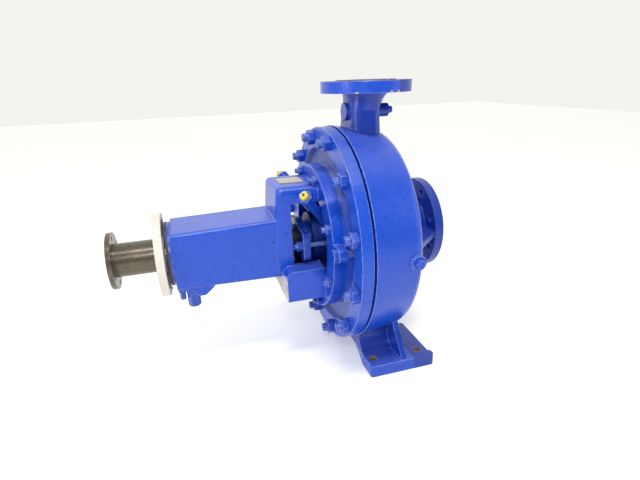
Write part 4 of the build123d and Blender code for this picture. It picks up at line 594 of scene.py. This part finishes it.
socket_length = 0.016
socket_flats = 0.027
socket_bore = 0.0106
plug_radius = 0.0078
tape_width = 0.0015
tape_turns = 5
sockets = bmesh.new()
plugs = bmesh.new()
for side in (-1, 1):
    port = Vector((-0.114, side * 0.040, shaft_height + 0.0367))
    end = Vector((-0.183, side * 0.115, shaft_height + 0.126))
    lean = (end - port).to_track_quat("Z", "Y").to_matrix().to_4x4()
    tip = Matrix.Translation(end) @ lean
    socket = tip @ Matrix.Translation((0, 0, -socket_length))
    add_hexagon(sockets, socket, socket_flats, socket_length, socket_bore)
    wound = [plain_ring(plug_radius, -0.009), plain_ring(plug_radius, 0.0)]
    for turn in range(tape_turns):
        wound.append(folded_ring(0.0089, 0.0004 + turn * tape_width))
        wound.append(folded_ring(0.0081, 0.0011 + turn * tape_width))
    skin(plugs, tip, wound, 28)
    bare_end = [plain_ring(0.0028, 0.0066), plain_ring(0.0028, 0.0104), plain_ring(0.0020, 0.0110)]
    for face in skin(plugs, tip, bare_end, 28):
        face.material_index = 1
add_piece(sockets, "nipple_hex_sockets", fastener_paint["material"], "pump", "fastener_paint", False,
          "nipple_sockets")
caps = add_piece(plugs, "taped_plugs", tape, "pump", "cap_yellow", True, "nipple_caps")
caps.data.materials.append(fastener_paint["material"])

# Bearing covers: iron discs with a spigot, sprayed blue as far as the gun could reach behind the disc.
# Water thrown off the disc has rusted the rim of the outer one.
cover_disc_paint = enamelled_iron("gloss_enamel_bearing_covers", "164ec3", "0937a1", 0.2)
place = put(cover_disc_paint["material"], "ShaderNodeSeparateXYZ", {}, {0: cover_disc_paint["spot"]})
rusted = both(cover_disc_paint, mask(cover_disc_paint, place.outputs[0], -0.480, -0.4615),
              put(cover_disc_paint["material"], "ShaderNodeMapRange", {},
                  {"Value": cover_disc_paint["cloud"], "From Min": 0.30, "From Max": 0.45}).outputs[0])
overlay(cover_disc_paint, rusted, srgb("4b3c36"), 0.8)
dress(cover_disc_paint, "outboard_cover", "outboard_cover_screws", "inboard_cover", "inboard_cover_screws")

# Coupling hub: turned cast iron, dark with oil and freckled with rust.


def bare_metal(name, light, dark, metallic, roughness, grain, grain_size, depth):
    """Bare metal or other plain stuff whose two tones follow a fine grain of a real size."""
    material = bpy.data.materials.new(name)
    material.use_nodes = True
    spot = put(material, "ShaderNodeTexCoord").outputs["Object"]
    grains = put(material, "ShaderNodeTexNoise", {},
                 {"Vector": spot, "Scale": 1.0 / grain_size, "Detail": 5.0, "Roughness": grain})
    tone = put(material, "ShaderNodeMix", {"data_type": "RGBA"},
               {0: grains.outputs[0], 6: srgb(dark), 7: srgb(light)})
    soft_edge = put(material, "ShaderNodeBevel", {"samples": 4}, {"Radius": 0.0008})
    relief = put(material, "ShaderNodeBump", {}, {"Strength": 0.3, "Distance": depth,
                                                  "Height": grains.outputs[0],
                                                  "Normal": soft_edge.outputs[0]})
    shader = material.node_tree.nodes["Principled BSDF"]
    shader.inputs["Metallic"].default_value = metallic
    shader.inputs["Roughness"].default_value = roughness
    material.node_tree.links.new(tone.outputs[2], shader.inputs["Base Color"])
    material.node_tree.links.new(relief.outputs[0], shader.inputs["Normal"])
    return material


def give(material, *names):
    """Give a material to CAD nodes."""
    for name in names:
        for slot in nodes[name].material_slots:
            slot.material = material


give(bare_metal("oiled_turned_iron", "83796a", "120e09", 0.6, 0.26, 0.85, 0.008, 0.0008), "coupling_hub")
give(bare_metal("white_primer", "eeebe6", "b5aa98", 0.0, 0.55, 0.75, 0.004, 0.0008), "deflector_disc")
give(bare_metal("turned_steel", "a9abad", "8d8f92", 1.0, 0.35, 0.5, 0.003, 0.00005), "pump_shaft",
     "coupling_key", "impeller_key", "hub_set_screw", "disc_screw", "lock_nut", "lock_washer",
     "impeller_nut")
# The shaft sleeve is dark with oil and made darker still, as painted shade inside the lantern
give(bare_metal("oily_sleeve_steel_shaded", "4a463f", "1f1c18", 0.6, 0.55, 0.7, 0.004, 0.0002), "shaft_sleeve")
give(bare_metal("bearing_steel", "c9cbce", "b9bbbf", 1.0, 0.15, 0.5, 0.01, 0.00002), "outboard_outer_race",
     "outboard_inner_race", "outboard_balls", "inboard_outer_race", "inboard_inner_race", "inboard_rollers")
give(bare_metal("cage_brass", "c9a25a", "b08a45", 1.0, 0.3, 0.5, 0.003, 0.00003), "outboard_cage",
     "inboard_cage")
give(bare_metal("bronze", "b98a4e", "96693a", 1.0, 0.35, 0.5, 0.003, 0.00003), "casing_wear_ring",
     "cover_wear_ring", "throat_bush", "lantern_ring")
give(bare_metal("as_cast_iron", "6a6a6c", "4c4c4e", 0.8, 0.6, 0.6, 0.002, 0.0003), "impeller")
give(bare_metal("black_rubber", "1d1d1d", "121212", 0.0, 0.6, 0.5, 0.003, 0.0001), "outboard_seal",
     "inboard_seal", "water_slinger", "casing_gasket")
give(bare_metal("braided_fibre", "6f6552", "4a4336", 0.0, 0.8, 0.6, 0.002, 0.0004), "packing_rings")
give(bare_metal("tan_plate", "cfc7b4", "8f856f", 0.0, 0.5, 0.7, 0.002, 0.0001), "lantern_plate")
